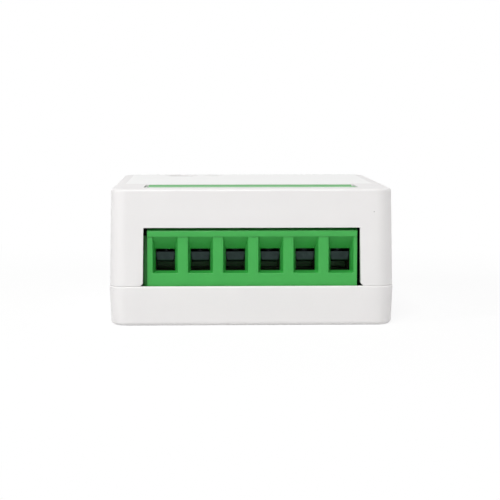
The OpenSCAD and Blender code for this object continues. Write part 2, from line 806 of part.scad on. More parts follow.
module relay_fixed_contacts() color("goldenrod") translate([relay_x, 0, 0]) {
    post_top = contact_z + contact_d / 2 + shaft_gap;
    for (side = [[open_contact_y - contact_t, -1], [closed_contact_y + contact_t, 1]])
        translate([0, side[0], 0]) mirror([0, side[1] < 0 ? 1 : 0, 0]) {
            translate([-blade_w / 2, 0, relay_zb]) cube([blade_w, post_t, post_top - relay_zb]);
            translate([0, 0, contact_z]) bar_y(contact_d, -contact_t, 0);
            translate([0, post_t / 2]) bar(relay_pin_d - touch_gap, lead_z, relay_zb + run_gap);
        }
}

module relay_coil_pins() color("silver")
    for (s = [-1, 1]) translate([relay_x + s * coil_pin_x, coil_pin_y]) bar(coil_pin_d, lead_z, coil_zc);

// Power supply

// An aluminium can stands inside a shrunk sleeve that turns in over its top edge
module capacitor_can(x, y, d, h) translate([x, y])
    bar(d - 2 * sleeve_t - 2 * touch_gap, board_top, board_top + h - sleeve_t - touch_gap);

module capacitor_sleeve(x, y, d, h) translate([x, y]) difference() {
    bar(d, board_top, board_top + h);
    bar(d - 2 * sleeve_t, board_top - over, board_top + h - sleeve_t);
    bar(d - 2 * sleeve_t - 2 * sleeve_lip, board_top, board_top + h + over);
}

module bulk_capacitor_can() color("silver") capacitor_can(bulk_x, bulk_y, bulk_d, bulk_h);
module bulk_capacitor_sleeve() color("midnightblue") capacitor_sleeve(bulk_x, bulk_y, bulk_d, bulk_h);
module output_capacitor_can() color("silver") capacitor_can(output_x, output_y, output_d, output_h);
module output_capacitor_sleeve() color("midnightblue")
    capacitor_sleeve(output_x, output_y, output_d, output_h);

module inductor_core() color("dimgray") translate([coil_x, coil_mid_y]) {
    bar(coil_d, board_top, board_top + coil_rim_t);
    bar(coil_waist_d, board_top, board_top + coil_h);
    bar(coil_d, board_top + coil_h - coil_rim_t, board_top + coil_h);
}

module inductor_winding() color("peru") translate([coil_x, coil_mid_y]) difference() {
    bar(coil_d - 2 * coil_wind_margin, board_top + coil_rim_t, board_top + coil_h - coil_rim_t);
    bar(coil_waist_d + 2 * touch_gap, board_top, board_top + coil_h);
}

module varistor() color("royalblue") translate([disc_x, row_y, disc_zc])
    bar_y(disc_d, -disc_t / 2, disc_t / 2);

module fuse_resistor() color("burlywood") translate([fuse_x - fuse_l / 2, row_y, fuse_z])
    rotate([0, 90, 0]) cylinder(d = fuse_d, h = fuse_l);

module component_leads() color("silver") {
    disc_lead_reach = disc_lead_x - thin_lead_d / 2;
    disc_lead_top = disc_zc - sqrt(pow(disc_d / 2, 2) - pow(disc_lead_reach, 2)) - touch_gap;
    for (p = can_leads) translate([p.x, p.y]) bar(p.z, lead_z, board_top);
    for (p = disc_leads) translate([p.x, p.y]) bar(p.z, lead_z, disc_lead_top);
    for (s = [-1, 1]) translate([fuse_x, row_y]) mirror([s < 0 ? 1 : 0, 0, 0]) {
        translate([fuse_lead_x, 0]) bar(thin_lead_d, lead_z, fuse_z);
        translate([fuse_lead_x, 0, fuse_z]) sphere(d = thin_lead_d);
        translate([fuse_l / 2, 0, fuse_z]) rotate([0, 90, 0])
            cylinder(d = thin_lead_d, h = fuse_lead_x - fuse_l / 2);
    }
}

// Chips

module chip_body(at, size) translate([at.x, at.y])
    block_at(size.x, size.y, size.z - chip_lift, board_top + chip_lift);

// Bent leads along the two Y sides of a chip, spread over its width
module bent_leads(at, size, count, reach) {
    step = size.x / count;
    z_out = size.z / 2;
    for (s = [-1, 1], k = [0:count - 1]) translate([at.x + (k - (count - 1) / 2) * step, at.y])
        mirror([0, s < 0 ? 1 : 0, 0]) translate([-chip_lead_w / 2, size.y / 2, board_top]) {
            translate([0, 0, z_out]) cube([chip_lead_w, reach / 2, chip_lead_t]);
            translate([0, reach / 2 - chip_lead_t, 0]) cube([chip_lead_w, chip_lead_t, z_out + chip_lead_t]);
            translate([0, reach / 2 - chip_lead_t, 0]) cube([chip_lead_w, reach / 2, chip_lead_t]);
        }
}

module bridge_rectifier() color("black") chip_body(bridge_at, bridge_size);
module power_controller() color("black") chip_body(controller_at, controller_size);
module voltage_regulator() color("black") chip_body(regulator_at, regulator_size);
module driver_transistor() color("black") chip_body(transistor_at, transistor_size);
module flyback_diode() color("black") chip_body(diode_at, diode_size);

module chip_leads() color("silver") {
    bent_leads(bridge_at, bridge_size, 2, bridge_reach);
    bent_leads(controller_at, controller_size, 4, controller_reach);
    bent_leads(regulator_at, regulator_size, 2, regulator_reach);
    bent_leads(transistor_at, transistor_size, 2, small_reach);
    bent_leads(diode_at, diode_size, 1, small_reach);
}

module chip_resistors() color("black")
    for (at = chip_resistors_at) translate(at) block_at(chip_l, chip_w, chip_h, board_top);

module chip_capacitors() color("tan")
    for (at = chip_capacitors_at) translate(at) block_at(chip_l, chip_w, chip_cap_h, board_top);

// Radio module

module radio_board() color("midnightblue") translate([radio_x, radio_y])
    block_at(radio_w, radio_d, radio_t, board_top);

module radio_chip() color("black") translate([shield_x, radio_y])
    block_at(radio_chip_w, radio_chip_w, radio_chip_h, radio_top);

module radio_shield() color("silver") translate([shield_x, radio_y]) difference() {
    block_at(shield_w, shield_d, shield_h, radio_top);
    block_at(shield_w - 2 * shield_t, shield_d - 2 * shield_t, shield_h - shield_t + over, radio_top - over);
}

// A flat zigzag of copper at the free end of the radio board
module antenna() color("goldenrod") translate([antenna_x, radio_y - antenna_l / 2, radio_top]) {
    for (k = [0:antenna_turns - 1]) translate([k * antenna_step, 0, 0]) {
        cube([antenna_w, antenna_l, antenna_t]);
        if (k < antenna_turns - 1)
            translate([0, k % 2 == 0 ? antenna_l - antenna_w : 0, 0])
                cube([antenna_step + antenna_w, antenna_w, antenna_t]);
    }
}

upper_shell();
lower_shell();
main_board();
terminal_block();
contact_frames();
for (i = [1:poles]) wire_guard(i);
for (i = [1:poles]) terminal_screw(i);
pairing_button();
light_pipe();
status_led();
switch_body();
switch_dome();
switch_frame();
switch_plunger();
switch_legs();
relay_base();
relay_cover();
relay_bobbin();
relay_winding();
relay_core();
relay_yoke();
relay_armature();
relay_moving_contact();
relay_fixed_contacts();
relay_coil_pins();
bulk_capacitor_can();
bulk_capacitor_sleeve();
output_capacitor_can();
output_capacitor_sleeve();
inductor_core();
inductor_winding();
varistor();
fuse_resistor();
component_leads();
bridge_rectifier();
power_controller();
voltage_regulator();
driver_transistor();
flyback_diode();
chip_leads();
chip_resistors();
chip_capacitors();
radio_board();
radio_chip();
radio_shield();
antenna();
solder_joints();
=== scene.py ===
"""Smart relay module: white two-shell case, green screw terminals and the circuit inside.

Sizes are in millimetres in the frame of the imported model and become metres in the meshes.
"""
from __future__ import annotations

import json
import logging
import math
from dataclasses import dataclass, field
from enum import Enum, IntEnum
from typing import Any, Iterable, Sequence

import bmesh
import bpy
import numpy as np
from mathutils import Euler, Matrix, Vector

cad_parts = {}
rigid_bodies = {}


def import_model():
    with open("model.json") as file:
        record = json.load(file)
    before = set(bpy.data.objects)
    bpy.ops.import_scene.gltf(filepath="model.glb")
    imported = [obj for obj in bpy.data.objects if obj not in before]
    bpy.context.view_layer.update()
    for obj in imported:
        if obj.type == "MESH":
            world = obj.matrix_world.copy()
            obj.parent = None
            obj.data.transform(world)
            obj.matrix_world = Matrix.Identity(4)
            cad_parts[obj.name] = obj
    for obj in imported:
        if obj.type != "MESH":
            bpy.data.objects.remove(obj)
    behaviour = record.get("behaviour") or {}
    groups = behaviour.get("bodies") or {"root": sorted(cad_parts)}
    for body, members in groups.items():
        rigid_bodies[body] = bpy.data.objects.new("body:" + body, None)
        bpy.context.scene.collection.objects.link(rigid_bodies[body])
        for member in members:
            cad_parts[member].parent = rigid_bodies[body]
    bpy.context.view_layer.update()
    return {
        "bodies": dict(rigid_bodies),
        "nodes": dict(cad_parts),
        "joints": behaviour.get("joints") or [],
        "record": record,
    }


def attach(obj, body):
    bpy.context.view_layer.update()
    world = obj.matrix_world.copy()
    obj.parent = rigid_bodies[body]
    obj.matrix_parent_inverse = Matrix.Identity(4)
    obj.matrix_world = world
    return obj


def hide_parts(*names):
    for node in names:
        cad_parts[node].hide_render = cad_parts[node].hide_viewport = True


LOG = logging.getLogger("relay_module")
MM = 0.001
# Decimals of a millimetre to which points are rounded before they are joined
WELD_DIGITS = 4
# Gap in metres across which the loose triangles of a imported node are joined
WELD_GAP = 1e-6
# Edges that turn by more than this are broken
SHARP_DEG = 35.0
# How close to a line, in mm, a point has to be to count as on it
NEAR = 0.01
# What counts as nothing beside a sum's rounding
TINY = 1e-9
# Length of one band of the wave texture at a scale of 1
WAVE_BAND = math.pi / 10
WHITE = (1.0, 1.0, 1.0, 1.0)

Tree = bpy.types.NodeTree
Socket = bpy.types.NodeSocket
Thing = bpy.types.Object
Span = tuple[int, int]
Pair = tuple[float, float]
Triple = tuple[float, float, float]
Values = np.ndarray | float


# Colour and nodes


def linear(code: str) -> tuple[float, ...]:
    """Turns an sRGB hex code into linear light.

    Args:
        code: A hash and six hex digits.

    Returns:
        Linear red, green and blue, and full opacity.
    """
    channels = np.array([int(code[i:i + 2], 16) for i in (1, 3, 5)]) / 255.0
    light = np.where(channels <= 0.04045, channels / 12.92, ((channels + 0.055) / 1.055) ** 2.4)
    return *light.tolist(), 1.0


def per_metre(size_mm: float) -> float:
    """Gives the texture scale at which one cell of a pattern is size_mm across."""
    return 1.0 / (size_mm * MM)


def add_node(tree: Tree, kind: str, inputs: dict[Any, Any] | None = None, **settings: Any) -> bpy.types.Node:
    """Adds one node with its settings and links.

    Args:
        tree: The node tree that gets the node.
        kind: Blender's type name of the node.
        inputs: Input names or numbers, each with a value or with the socket that feeds it.
        settings: Properties of the node.

    Returns:
        The new node.
    """
    node = tree.nodes.new(kind)
    for name, value in settings.items():
        setattr(node, name, value)
    for name, value in (inputs or {}).items():
        if isinstance(value, Socket):
            tree.links.new(value, node.inputs[name])
        else:
            node.inputs[name].default_value = value
    return node


def laid_over(tree: Tree, tint: Socket, code: str, value: Socket, whole: float, gone: float) -> Socket:
    """Lays a colour over another: all of it where a value is up to whole, none of it from gone on.

    Args:
        tree: The material's tree.
        tint: The colour below.
        code: The colour above, sRGB hex.
        value: What decides where the colour above shows.
        whole: The value up to which it covers.
        gone: The value from which it no longer shows.

    Returns:
        The mixed colour.
    """
    share = add_node(tree, "ShaderNodeMapRange", {"Value": value, "From Min": whole, "From Max": gone,
                                                  "To Min": 1.0, "To Max": 0.0})
    mixed = add_node(tree, "ShaderNodeMix", {"Factor": share.outputs["Result"], "A": tint, "B": linear(code)},
                     data_type="RGBA")
    return mixed.outputs["Result"]


# Finishes


@dataclass(frozen=True)
class Finish:
    """A finish whose colour drifts softly and whose surface carries a fine grain.

    Attributes:
        name: Material name, after the real material.
        colour: Main colour, sRGB hex.
        drift: Second colour that shows in soft patches, sRGB hex.
        roughness: Roughness of the surface.
        metallic: 1 for a bare metal.
        ior: Index of refraction.
        grain_mm: Width of one grain of the surface texture.
        relief_mm: Height of the grain.
        patch_mm: Width of the colour patches.
        stretch: How much longer the grain is along X, Y and Z.
        wear: How much the roughness changes from patch to patch.
        details: Finer layers in the patches and in the grain.
    """

    name: str
    colour: str
    drift: str
    roughness: float = 0.5
    metallic: float = 0.0
    ior: float = 1.5
    grain_mm: float = 0.3
    relief_mm: float = 0.004
    patch_mm: float = 5.0
    stretch: Triple = (1.0, 1.0, 1.0)
    wear: float = 0.08
    details: Pair = (3.0, 2.0)

    def material(self) -> bpy.types.Material:
        """Builds the material, or finds it where it already exists.

        Returns:
            The material, with a Principled shader fed by noise on Object coordinates.
        """
        found = bpy.data.materials.get(self.name)
        if found:
            return found
        material = bpy.data.materials.new(self.name)
        material.use_nodes = True
        material.diffuse_color = linear(self.colour)
        tree = material.node_tree
        tree.nodes.clear()
        shader = add_node(tree, "ShaderNodeBsdfPrincipled", self.constants())
        add_node(tree, "ShaderNodeOutputMaterial", {"Surface": shader.outputs["BSDF"]})
        self.dress(tree, shader)
        return material

    def constants(self) -> dict[str, float]:
        """Gives the shader's inputs that are the same all over the surface."""
        return {"Metallic": self.metallic, "IOR": self.ior}

    def dress(self, tree: Tree, shader: bpy.types.Node) -> None:
        """Feeds colour, roughness and relief into the shader.

        Args:
            tree: The material's tree.
            shader: The Principled node.
        """
        place = add_node(tree, "ShaderNodeTexCoord").outputs["Object"]
        patches = add_node(tree, "ShaderNodeTexNoise", {
            "Vector": place, "Scale": per_metre(self.patch_mm), "Detail": self.details[0]}).outputs["Fac"]
        tint = add_node(tree, "ShaderNodeMix", {"Factor": patches, "A": linear(self.colour),
                                                "B": linear(self.drift)}, data_type="RGBA").outputs["Result"]
        rough = add_node(tree, "ShaderNodeMapRange", {
            "Value": patches, "To Min": self.roughness - self.wear, "To Max": self.roughness + self.wear})
        along = add_node(tree, "ShaderNodeMapping", {
            "Vector": place, "Scale": tuple(1.0 / s for s in self.stretch)}).outputs["Vector"]
        grain = add_node(tree, "ShaderNodeTexNoise", {
            "Vector": along, "Scale": per_metre(self.grain_mm), "Detail": self.details[1]})
        relief = add_node(tree, "ShaderNodeBump", {
            "Height": grain.outputs["Fac"], "Distance": self.relief_mm * MM, "Strength": 1.0})
        tree.links.new(self.coloured(tree, place, tint), shader.inputs["Base Color"])
        tree.links.new(rough.outputs["Result"], shader.inputs["Roughness"])
        tree.links.new(relief.outputs["Normal"], shader.inputs["Normal"])

    def coloured(self, tree: Tree, place: Socket, tint: Socket) -> Socket:
        """Passes the drifting colour on as it is."""
        return tint


@dataclass(frozen=True)
class Metal(Finish):
    """A bare or plated metal."""

    metallic: float = 1.0


@dataclass(frozen=True)
class SpeckledFinish(Finish):
    """A moulded finish with a few dark specks of dust in it.

    Attributes:
        speck: Colour of the specks, sRGB hex.
        speck_gap_mm: Rough distance between specks in the material.
        speck_mm: Radius of the largest specks.
        speck_core: Share of that radius that is fully dark.
    """

    speck: str = "#8A8784"
    speck_gap_mm: float = 3.4
    speck_mm: float = 0.11
    speck_core: float = 0.4

    def coloured(self, tree: Tree, place: Socket, tint: Socket) -> Socket:
        """Darkens the colour wherever the surface passes close to a scattered point."""
        points = add_node(tree, "ShaderNodeTexVoronoi", {
            "Vector": place, "Scale": per_metre(self.speck_gap_mm), "Randomness": 1.0})
        reach = self.speck_mm / self.speck_gap_mm
        return laid_over(tree, tint, self.speck, points.outputs["Distance"], self.speck_core * reach, reach)


@dataclass(frozen=True)
class PanelFinish(SpeckledFinish):
    """The same moulded finish with a brighter panel on the roof.

    Attributes:
        panel: Colour of the panel, sRGB hex.
        middle_mm: The panel's middle.
        half_mm: Half its width, half its depth and half its thickness in Z.
        rim_mm: Width over which its edge fades.
        clear_mm: Round places left out of it, as X, Y and radius.
    """

    panel: str = "#F3F3F2"
    middle_mm: Triple = (0.0, 5.6, 19.55)
    half_mm: Triple = (18.4, 14.8, 0.1)
    rim_mm: float = 0.05
    clear_mm: tuple[Triple, ...] = ((-10.4, 15.9, 2.7), (-5.2, 15.9, 1.5))

    def coloured(self, tree: Tree, place: Socket, tint: Socket) -> Socket:
        """Brightens the colour where the largest distance beyond the panel's half sizes is negative.

        Args:
            tree: The material's tree.
            place: Object coordinates.
            tint: The drifting colour.

        Returns:
            The colour with the panel and the specks.
        """
        away = add_node(tree, "ShaderNodeVectorMath", {0: place, 1: tuple(v * MM for v in self.middle_mm)},
                        operation="SUBTRACT").outputs["Vector"]
        size = add_node(tree, "ShaderNodeVectorMath", {0: away}, operation="ABSOLUTE").outputs["Vector"]
        beyond = add_node(tree, "ShaderNodeVectorMath", {0: size, 1: tuple(v * MM for v in self.half_mm)},
                          operation="SUBTRACT").outputs["Vector"]
        edge, *others = add_node(tree, "ShaderNodeSeparateXYZ", {"Vector": beyond}).outputs
        for x, y, radius in self.clear_mm:
            spot = (x * MM, y * MM, self.middle_mm[2] * MM)
            hole = add_node(tree, "ShaderNodeVectorMath", {0: place, 1: spot}, operation="DISTANCE")
            others.append(add_node(tree, "ShaderNodeMath", {0: radius * MM, 1: hole.outputs["Value"]},
                                   operation="SUBTRACT").outputs[0])
        for other in others:
            edge = add_node(tree, "ShaderNodeMath", {0: edge, 1: other}, operation="MAXIMUM").outputs[0]
        laid = laid_over(tree, tint, self.panel, edge, -self.rim_mm * MM, 0.0)
        return super().coloured(tree, place, laid)


@dataclass(frozen=True)
class ClearFinish(Finish):
    """A clear moulding that lets light through.

    Attributes:
        clarity: Share of the light that passes.
    """

    clarity: float = 0.85

    def constants(self) -> dict[str, float]:
        """Opens the shader to light."""
        return {**super().constants(), "Transmission Weight": self.clarity}


@dataclass(frozen=True)
class PaintedShadeEdgeFinish(Metal):
    """A plated strip whose front edge is darkened with painted shade.

    Attributes:
        cut: Colour of the painted shade on the front edge, sRGB hex.
        front_mm: Y of the edge.
        deep_mm: How far behind the edge the painted shade fades out.
    """

    # Painted shade: near-black colour laid on the frame's front edge
    cut: str = "#2B2723"
    front_mm: float = -16.45
    deep_mm: float = 0.15

    def coloured(self, tree: Tree, place: Socket, tint: Socket) -> Socket:
        """Paints shade: darkens the colour from the front edge over a short way back along Y."""
        along = add_node(tree, "ShaderNodeSeparateXYZ", {"Vector": place}).outputs["Y"]
        return laid_over(tree, tint, self.cut, along, self.front_mm * MM, (self.front_mm + self.deep_mm) * MM)


class Axis(Enum):
    """The way a winding's axis lies."""

    Y = "Y"
    Z = "Z"


@dataclass(frozen=True)
class WoundFinish(Finish):
    """Enamelled wire laid turn by turn, drawn as bands across the winding's axis.

    Attributes:
        wire_mm: Distance from one turn to the next, drawn coarser than real wire so that it shows.
        waver: How unevenly the turns lie.
        gap: Colour between two turns, sRGB hex.
        axis: The winding's axis.
    """

    metallic: float = 0.8
    grain_mm: float = 0.2
    wire_mm: float = 1.0053
    waver: float = 0.4
    gap: str = "#3A1608"
    axis: Axis = Axis.Z

    def coloured(self, tree: Tree, place: Socket, tint: Socket) -> Socket:
        """Darkens the colour between neighbouring turns."""
        turns = add_node(tree, "ShaderNodeTexWave", {
            "Vector": place, "Scale": WAVE_BAND * per_metre(self.wire_mm), "Distortion": self.waver},
            bands_direction=self.axis.value)
        mixed = add_node(tree, "ShaderNodeMix", {
            "Factor": turns.outputs["Fac"], "A": linear(self.gap), "B": tint}, data_type="RGBA")
        return mixed.outputs["Result"]


class Look(Enum):
    """Every finish on the module."""

    # Injection-moulded ABS from a spark-eroded tool: even white, dull, with a fine sandy skin
    CASE = SpeckledFinish("white_abs_spark_texture", "#E9E7E6", "#E5E3E3", 0.46, ior=1.53,
                          grain_mm=0.22, relief_mm=0.006, patch_mm=7.0)
    # The same moulding on the cover, with a brighter field on its roof
    COVER = PanelFinish("white_abs_with_roof_panel", "#E9E7E6", "#E5E3E3", 0.46, ior=1.53,
                        grain_mm=0.22, relief_mm=0.006, patch_mm=7.0)
    # Glass-filled polyamide: strong leaf green, satin, slightly mottled where the melt flowed
    TERMINAL = Finish("green_polyamide_moulded", "#3BAA49", "#35A044", 0.34,
                      grain_mm=0.35, relief_mm=0.006, patch_mm=2.4)
    # Nickel-plated strip steel drawn as dark slate metal: the dark colour is painted shade for the flaps
    # inside the wire entries; rolling lines and patches that drift darker
    GUARD = Metal("nickel_steel_painted_shade", "#35413F", "#242D2B", 0.32, grain_mm=0.12, patch_mm=0.7,
                  stretch=(6.0, 1.0, 1.0), wear=0.12)
    # Nickel-plated sheet: cool grey metal with faint rolling lines
    SHEET = Metal("nickel_plated_sheet", "#9CA2A4", "#8B9194", 0.34, grain_mm=0.12, relief_mm=0.003,
                  patch_mm=1.1, stretch=(6.0, 1.0, 1.0), wear=0.1)
    # Tin-plated brass: pale warm grey, duller than the steel, with painted shade darkening its front edge
    FRAME = PaintedShadeEdgeFinish("tin_plated_brass", "#A29E94", "#8E8A80", 0.42, grain_mm=0.2, relief_mm=0.003,
                          patch_mm=1.5)
    # Bright zinc plating: bluish metal, fairly shiny
    SCREW = Metal("bright_zinc_steel", "#B9BDC2", "#A6ABB2", 0.3, grain_mm=0.15, relief_mm=0.002,
                  patch_mm=1.2)
    # Polished acrylic: clear, smooth, with a slight cool tint
    PIPE = ClearFinish("clear_acrylic", "#EDF2F4", "#E6EDF0", 0.12, ior=1.49, grain_mm=0.6, relief_mm=0.0005)
    # Glass-epoxy board under green lacquer: deep green with a fine weave below the gloss
    BOARD = Finish("green_lacquered_laminate", "#0F5A30", "#0C4C28", 0.34, grain_mm=0.5, relief_mm=0.003)
    # The same laminate under blue lacquer
    RADIO = Finish("blue_lacquered_laminate", "#14254F", "#101E43", 0.34, grain_mm=0.5, relief_mm=0.003)
    # Milky resin over the light-emitting chip
    LED = Finish("milky_resin", "#EEEAD2", "#E4DEC0", 0.3, grain_mm=0.4, relief_mm=0.001)
    # Black thermoplastic with a fine matt skin
    BLACK = Finish("black_thermoplastic", "#1A1A1C", "#232326", 0.5, grain_mm=0.25, relief_mm=0.005)
    # Natural nylon: cream and waxy
    NYLON = Finish("natural_nylon", "#DDD2B6", "#D2C5A6", 0.45, relief_mm=0.003)
    # Enamelled copper wire: red-brown, glossy, turn beside turn
    RELAY_WIRE = WoundFinish("relay_coil_copper", "#B4622C", "#9D5022", 0.28, axis=Axis.Y)
    COIL_WIRE = WoundFinish("inductor_copper", "#B4622C", "#9D5022", 0.28, axis=Axis.Z)
    # Zinc-plated soft iron: grey and even
    IRON = Metal("plated_soft_iron", "#8E9092", "#7E8083", 0.4, grain_mm=0.2, relief_mm=0.003)
    # Rolled bronze: warm yellow metal
    BRONZE = Metal("rolled_bronze", "#B98D4A", "#A87C3C", 0.34, grain_mm=0.15, stretch=(1.0, 1.0, 5.0))
    # Tin on copper: bright, soft silver
    TIN = Metal("tinned_lead", "#C4C6C8", "#B4B6B8", 0.32, grain_mm=0.15, relief_mm=0.002)
    # Deep-drawn aluminium: pale with lines along the draw
    CAN = Metal("drawn_aluminium", "#CDCFD1", "#BFC2C4", 0.34, grain_mm=0.1, stretch=(1.0, 1.0, 8.0))
    # Shrunk film: dark blue, glossy
    FILM = Finish("shrunk_blue_film", "#141A36", "#1B2244", 0.24, grain_mm=0.8)
    # Sintered ferrite: charcoal, dull, granular
    FERRITE = Finish("sintered_ferrite", "#333436", "#2A2B2D", 0.62, grain_mm=0.12, relief_mm=0.01)
    # Dipped epoxy: bright blue with a soft orange-peel skin
    DIPPED = Finish("dipped_blue_epoxy", "#1F5AA8", "#1A4E95", 0.36, grain_mm=0.9, relief_mm=0.02)
    # Lacquered ceramic: tan, slightly glossy
    LACQUER = Finish("tan_lacquer", "#C6A983", "#B99B74", 0.36, grain_mm=0.4, relief_mm=0.006)
    # Moulded chip epoxy: charcoal, matt
    EPOXY = Finish("moulded_chip_epoxy", "#1E1F21", "#26272A", 0.55, grain_mm=0.15, relief_mm=0.005)
    # Fired ceramic of a chip capacitor: tan and matt
    CERAMIC = Finish("fired_chip_ceramic", "#B79A74", "#A98B65", 0.5, grain_mm=0.2, relief_mm=0.003)
    # Gold flash over copper
    GOLD = Metal("gold_flashed_copper", "#D0A95A", "#C29A4A", 0.3, grain_mm=0.2, relief_mm=0.002)

    def material(self) -> bpy.types.Material:
        """Builds or finds this finish's material."""
        return self.value.material()


# Surfaces


class Cut(IntEnum):
    """How a grid cell becomes faces: one quad, or two triangles along one of its diagonals."""

    WHOLE = 0
    FIRST = 1
    SECOND = 2


@dataclass
class Sheet:
    """A grid of points with the cells that are kept.

    Attributes:
        points: Array of rows, columns and three coordinates, in mm.
        keep: One flag for each cell, or None where all stay.
        split: The cut of each cell, or None where all are whole.
    """

    points: np.ndarray
    keep: np.ndarray | None = None
    split: np.ndarray | None = None

    def faces(self) -> tuple[np.ndarray, np.ndarray]:
        """Numbers the corners of every kept cell.

        Returns:
            Quads and triangles as arrays of point numbers.
        """
        rows, cols = self.points.shape[:2]
        number = np.arange(rows * cols).reshape(rows, cols)
        corners = np.stack([number[:-1, :-1], number[:-1, 1:], number[1:, 1:], number[1:, :-1]], axis=-1)
        keep = np.ones(corners.shape[:2], bool) if self.keep is None else self.keep
        split = np.full(corners.shape[:2], Cut.WHOLE) if self.split is None else self.split
        first = corners[keep & (split == Cut.FIRST)]
        second = corners[keep & (split == Cut.SECOND)]
        triangles = np.concatenate([first[:, [0, 1, 2]], first[:, [0, 2, 3]],
                                    second[:, [0, 1, 3]], second[:, [1, 2, 3]]])
        return corners[keep & (split == Cut.WHOLE)], triangles


def grid_of(x: Values, y: Values, z: Values) -> np.ndarray:
    """Spreads three coordinates over their common rows and columns, and stacks them into points."""
    return np.stack(np.broadcast_arrays(x, y, z), axis=-1)


def ticks(breaks: Sequence[float], step: float) -> np.ndarray:
    """Puts evenly spaced values between given breaks.

    Args:
        breaks: Rising values that are all kept.
        step: Widest gap between neighbours.

    Returns:
        The breaks with the values between them.
    """
    spans = [np.linspace(a, b, max(math.ceil((b - a) / step - TINY), 1), endpoint=False)
             for a, b in zip(breaks[:-1], breaks[1:])]
    return np.concatenate(spans + [np.array([breaks[-1]])])


def rounded(points: Sequence[Sequence[float]], radii: Sequence[float], steps: int = 5) -> np.ndarray:
    """Rounds the inner corners of an open line, each with the arc that touches both of its sides.

    With unit vectors from a corner along its sides and half the angle h between them, the arc's centre lies
    at radius / sin(h) along their bisector, and the arc runs between the feet at radius / tan(h).

    Args:
        points: Points of the line.
        radii: One radius for each inner corner.
        steps: Parts of each arc.

    Returns:
        The rounded line's points.
    """
    line = np.asarray(points, float)
    here = line[1:-1]
    back = line[:-2] - here
    ahead = line[2:] - here
    back /= np.linalg.norm(back, axis=1, keepdims=True)
    ahead /= np.linalg.norm(ahead, axis=1, keepdims=True)
    half = np.arccos(np.clip((back * ahead).sum(1), -1, 1)) / 2
    radius = np.asarray(radii, float)
    foot = (radius / np.tan(half))[:, None]
    middle = back + ahead
    middle /= np.linalg.norm(middle, axis=1, keepdims=True)
    centre = here + middle * (radius / np.sin(half))[:, None]
    start = here + back * foot - centre
    end = here + ahead * foot - centre
    sweep = (math.pi - 2 * half)[:, None, None]
    part = np.linspace(0, 1, steps + 1)[None, :, None]
    arcs = (start[:, None] * np.sin((1 - part) * sweep) + end[:, None] * np.sin(part * sweep)) / np.sin(sweep)
    arcs += centre[:, None]
    return np.concatenate([line[:1], arcs.reshape(-1, 2), line[-1:]])


def revolve(profile: np.ndarray, centre: Pair, steps: int) -> Sheet:
    """Carries a profile round an upright axis: x = cx + r cos a, y = cy + r sin a, z unchanged.

    Args:
        profile: Points as radius and height.
        centre: X and Y of the axis.
        steps: Parts of the circle.

    Returns:
        The closed surface.
    """
    angle = np.linspace(0, 2 * math.pi, steps + 1)
    radius, height = profile[:, :1], profile[:, 1:]
    return Sheet(grid_of(centre[0] + radius * np.cos(angle), centre[1] + radius * np.sin(angle), height))


def bridge(one: np.ndarray, other: np.ndarray, keep: np.ndarray | None = None) -> Sheet:
    """Joins two lines of equally many points with one strip of faces."""
    return Sheet(np.stack([one, other]), keep)


def rim_of(grid: np.ndarray) -> np.ndarray:
    """Walks once round the rim of a grid and back to its start."""
    return np.concatenate([grid[0, :-1], grid[:-1, -1], grid[-1, :0:-1], grid[::-1, 0]])


def block_loop(grid: np.ndarray, rows: Span, cols: Span) -> np.ndarray:
    """Walks once round the rim of a block of grid cells and back to its start.

    Args:
        grid: Points of the whole grid.
        rows: First and last row of the block.
        cols: First and last column of the block.

    Returns:
        The rim's points, the first one repeated at the end.
    """
    return rim_of(grid[rows[0]:rows[1] + 1, cols[0]:cols[1] + 1])


def ring_on(loop: np.ndarray, centre: Pair, radius: float, z: float) -> np.ndarray:
    """Lays a circle under a loop: each point keeps its direction from the centre and goes to the radius.

    Args:
        loop: Points round the centre.
        centre: X and Y of the circle.
        radius: The circle's radius.
        z: The circle's height.

    Returns:
        As many points on the circle.
    """
    angle = np.arctan2(loop[:, 1] - centre[1], loop[:, 0] - centre[0])
    return grid_of(centre[0] + radius * np.cos(angle), centre[1] + radius * np.sin(angle), z)


def cells_off(shape: tuple[int, ...], blocks: Iterable[tuple[Span, Span]]) -> np.ndarray:
    """Flags the cells of a grid that stay when whole blocks are taken out.

    Args:
        shape: Rows and columns of points in the grid.
        blocks: First and last row and column of each block.

    Returns:
        One flag for each cell.
    """
    keep = np.ones((shape[0] - 1, shape[1] - 1), bool)
    for rows, cols in blocks:
        keep[rows[0]:rows[1], cols[0]:cols[1]] = False
    return keep


def bar(centre: Pair, size: Pair, ends: Pair, power: float = 0.25, tip: float = 0.85, tip_h: float = 0.1,
        steps: int = 40) -> Sheet:
    """Raises an upright bar with rounded corners: x = a sgn(cos t) |cos t|^q, y = b sgn(sin t) |sin t|^q.

    Args:
        centre: X and Y of the bar's axis.
        size: Width along X and along Y.
        ends: Lowest and highest Z.
        power: The q of the formula; the smaller it is, the squarer the bar.
        tip: Share of the width that is left at the ends.
        tip_h: Height over which the ends are drawn in.
        steps: Parts of its outline.

    Returns:
        The closed surface.
    """
    ring = np.linspace(0, 2 * math.pi, steps + 1)
    wave = np.stack([np.cos(ring), np.sin(ring)], axis=-1)
    square = np.where(np.abs(wave) < TINY, 0.0, np.sign(wave) * np.abs(wave) ** power)
    low, high = ends
    share = np.array([0.0, tip, 1.0, 1.0, tip, 0.0])
    heights = np.array([low, low, low + tip_h, high - tip_h, high, high])
    flat = np.array(centre) + square * share[:, None, None] * np.array(size) / 2
    return Sheet(grid_of(flat[..., 0], flat[..., 1], heights[:, None]))


def index_of(values: np.ndarray, wanted: float) -> int:
    """Finds the place of the value closest to the wanted one."""
    return int(np.abs(values - wanted).argmin())


def span_of(values: np.ndarray, first: float, last: float) -> Span:
    """Finds the places of two values."""
    return index_of(values, first), index_of(values, last)


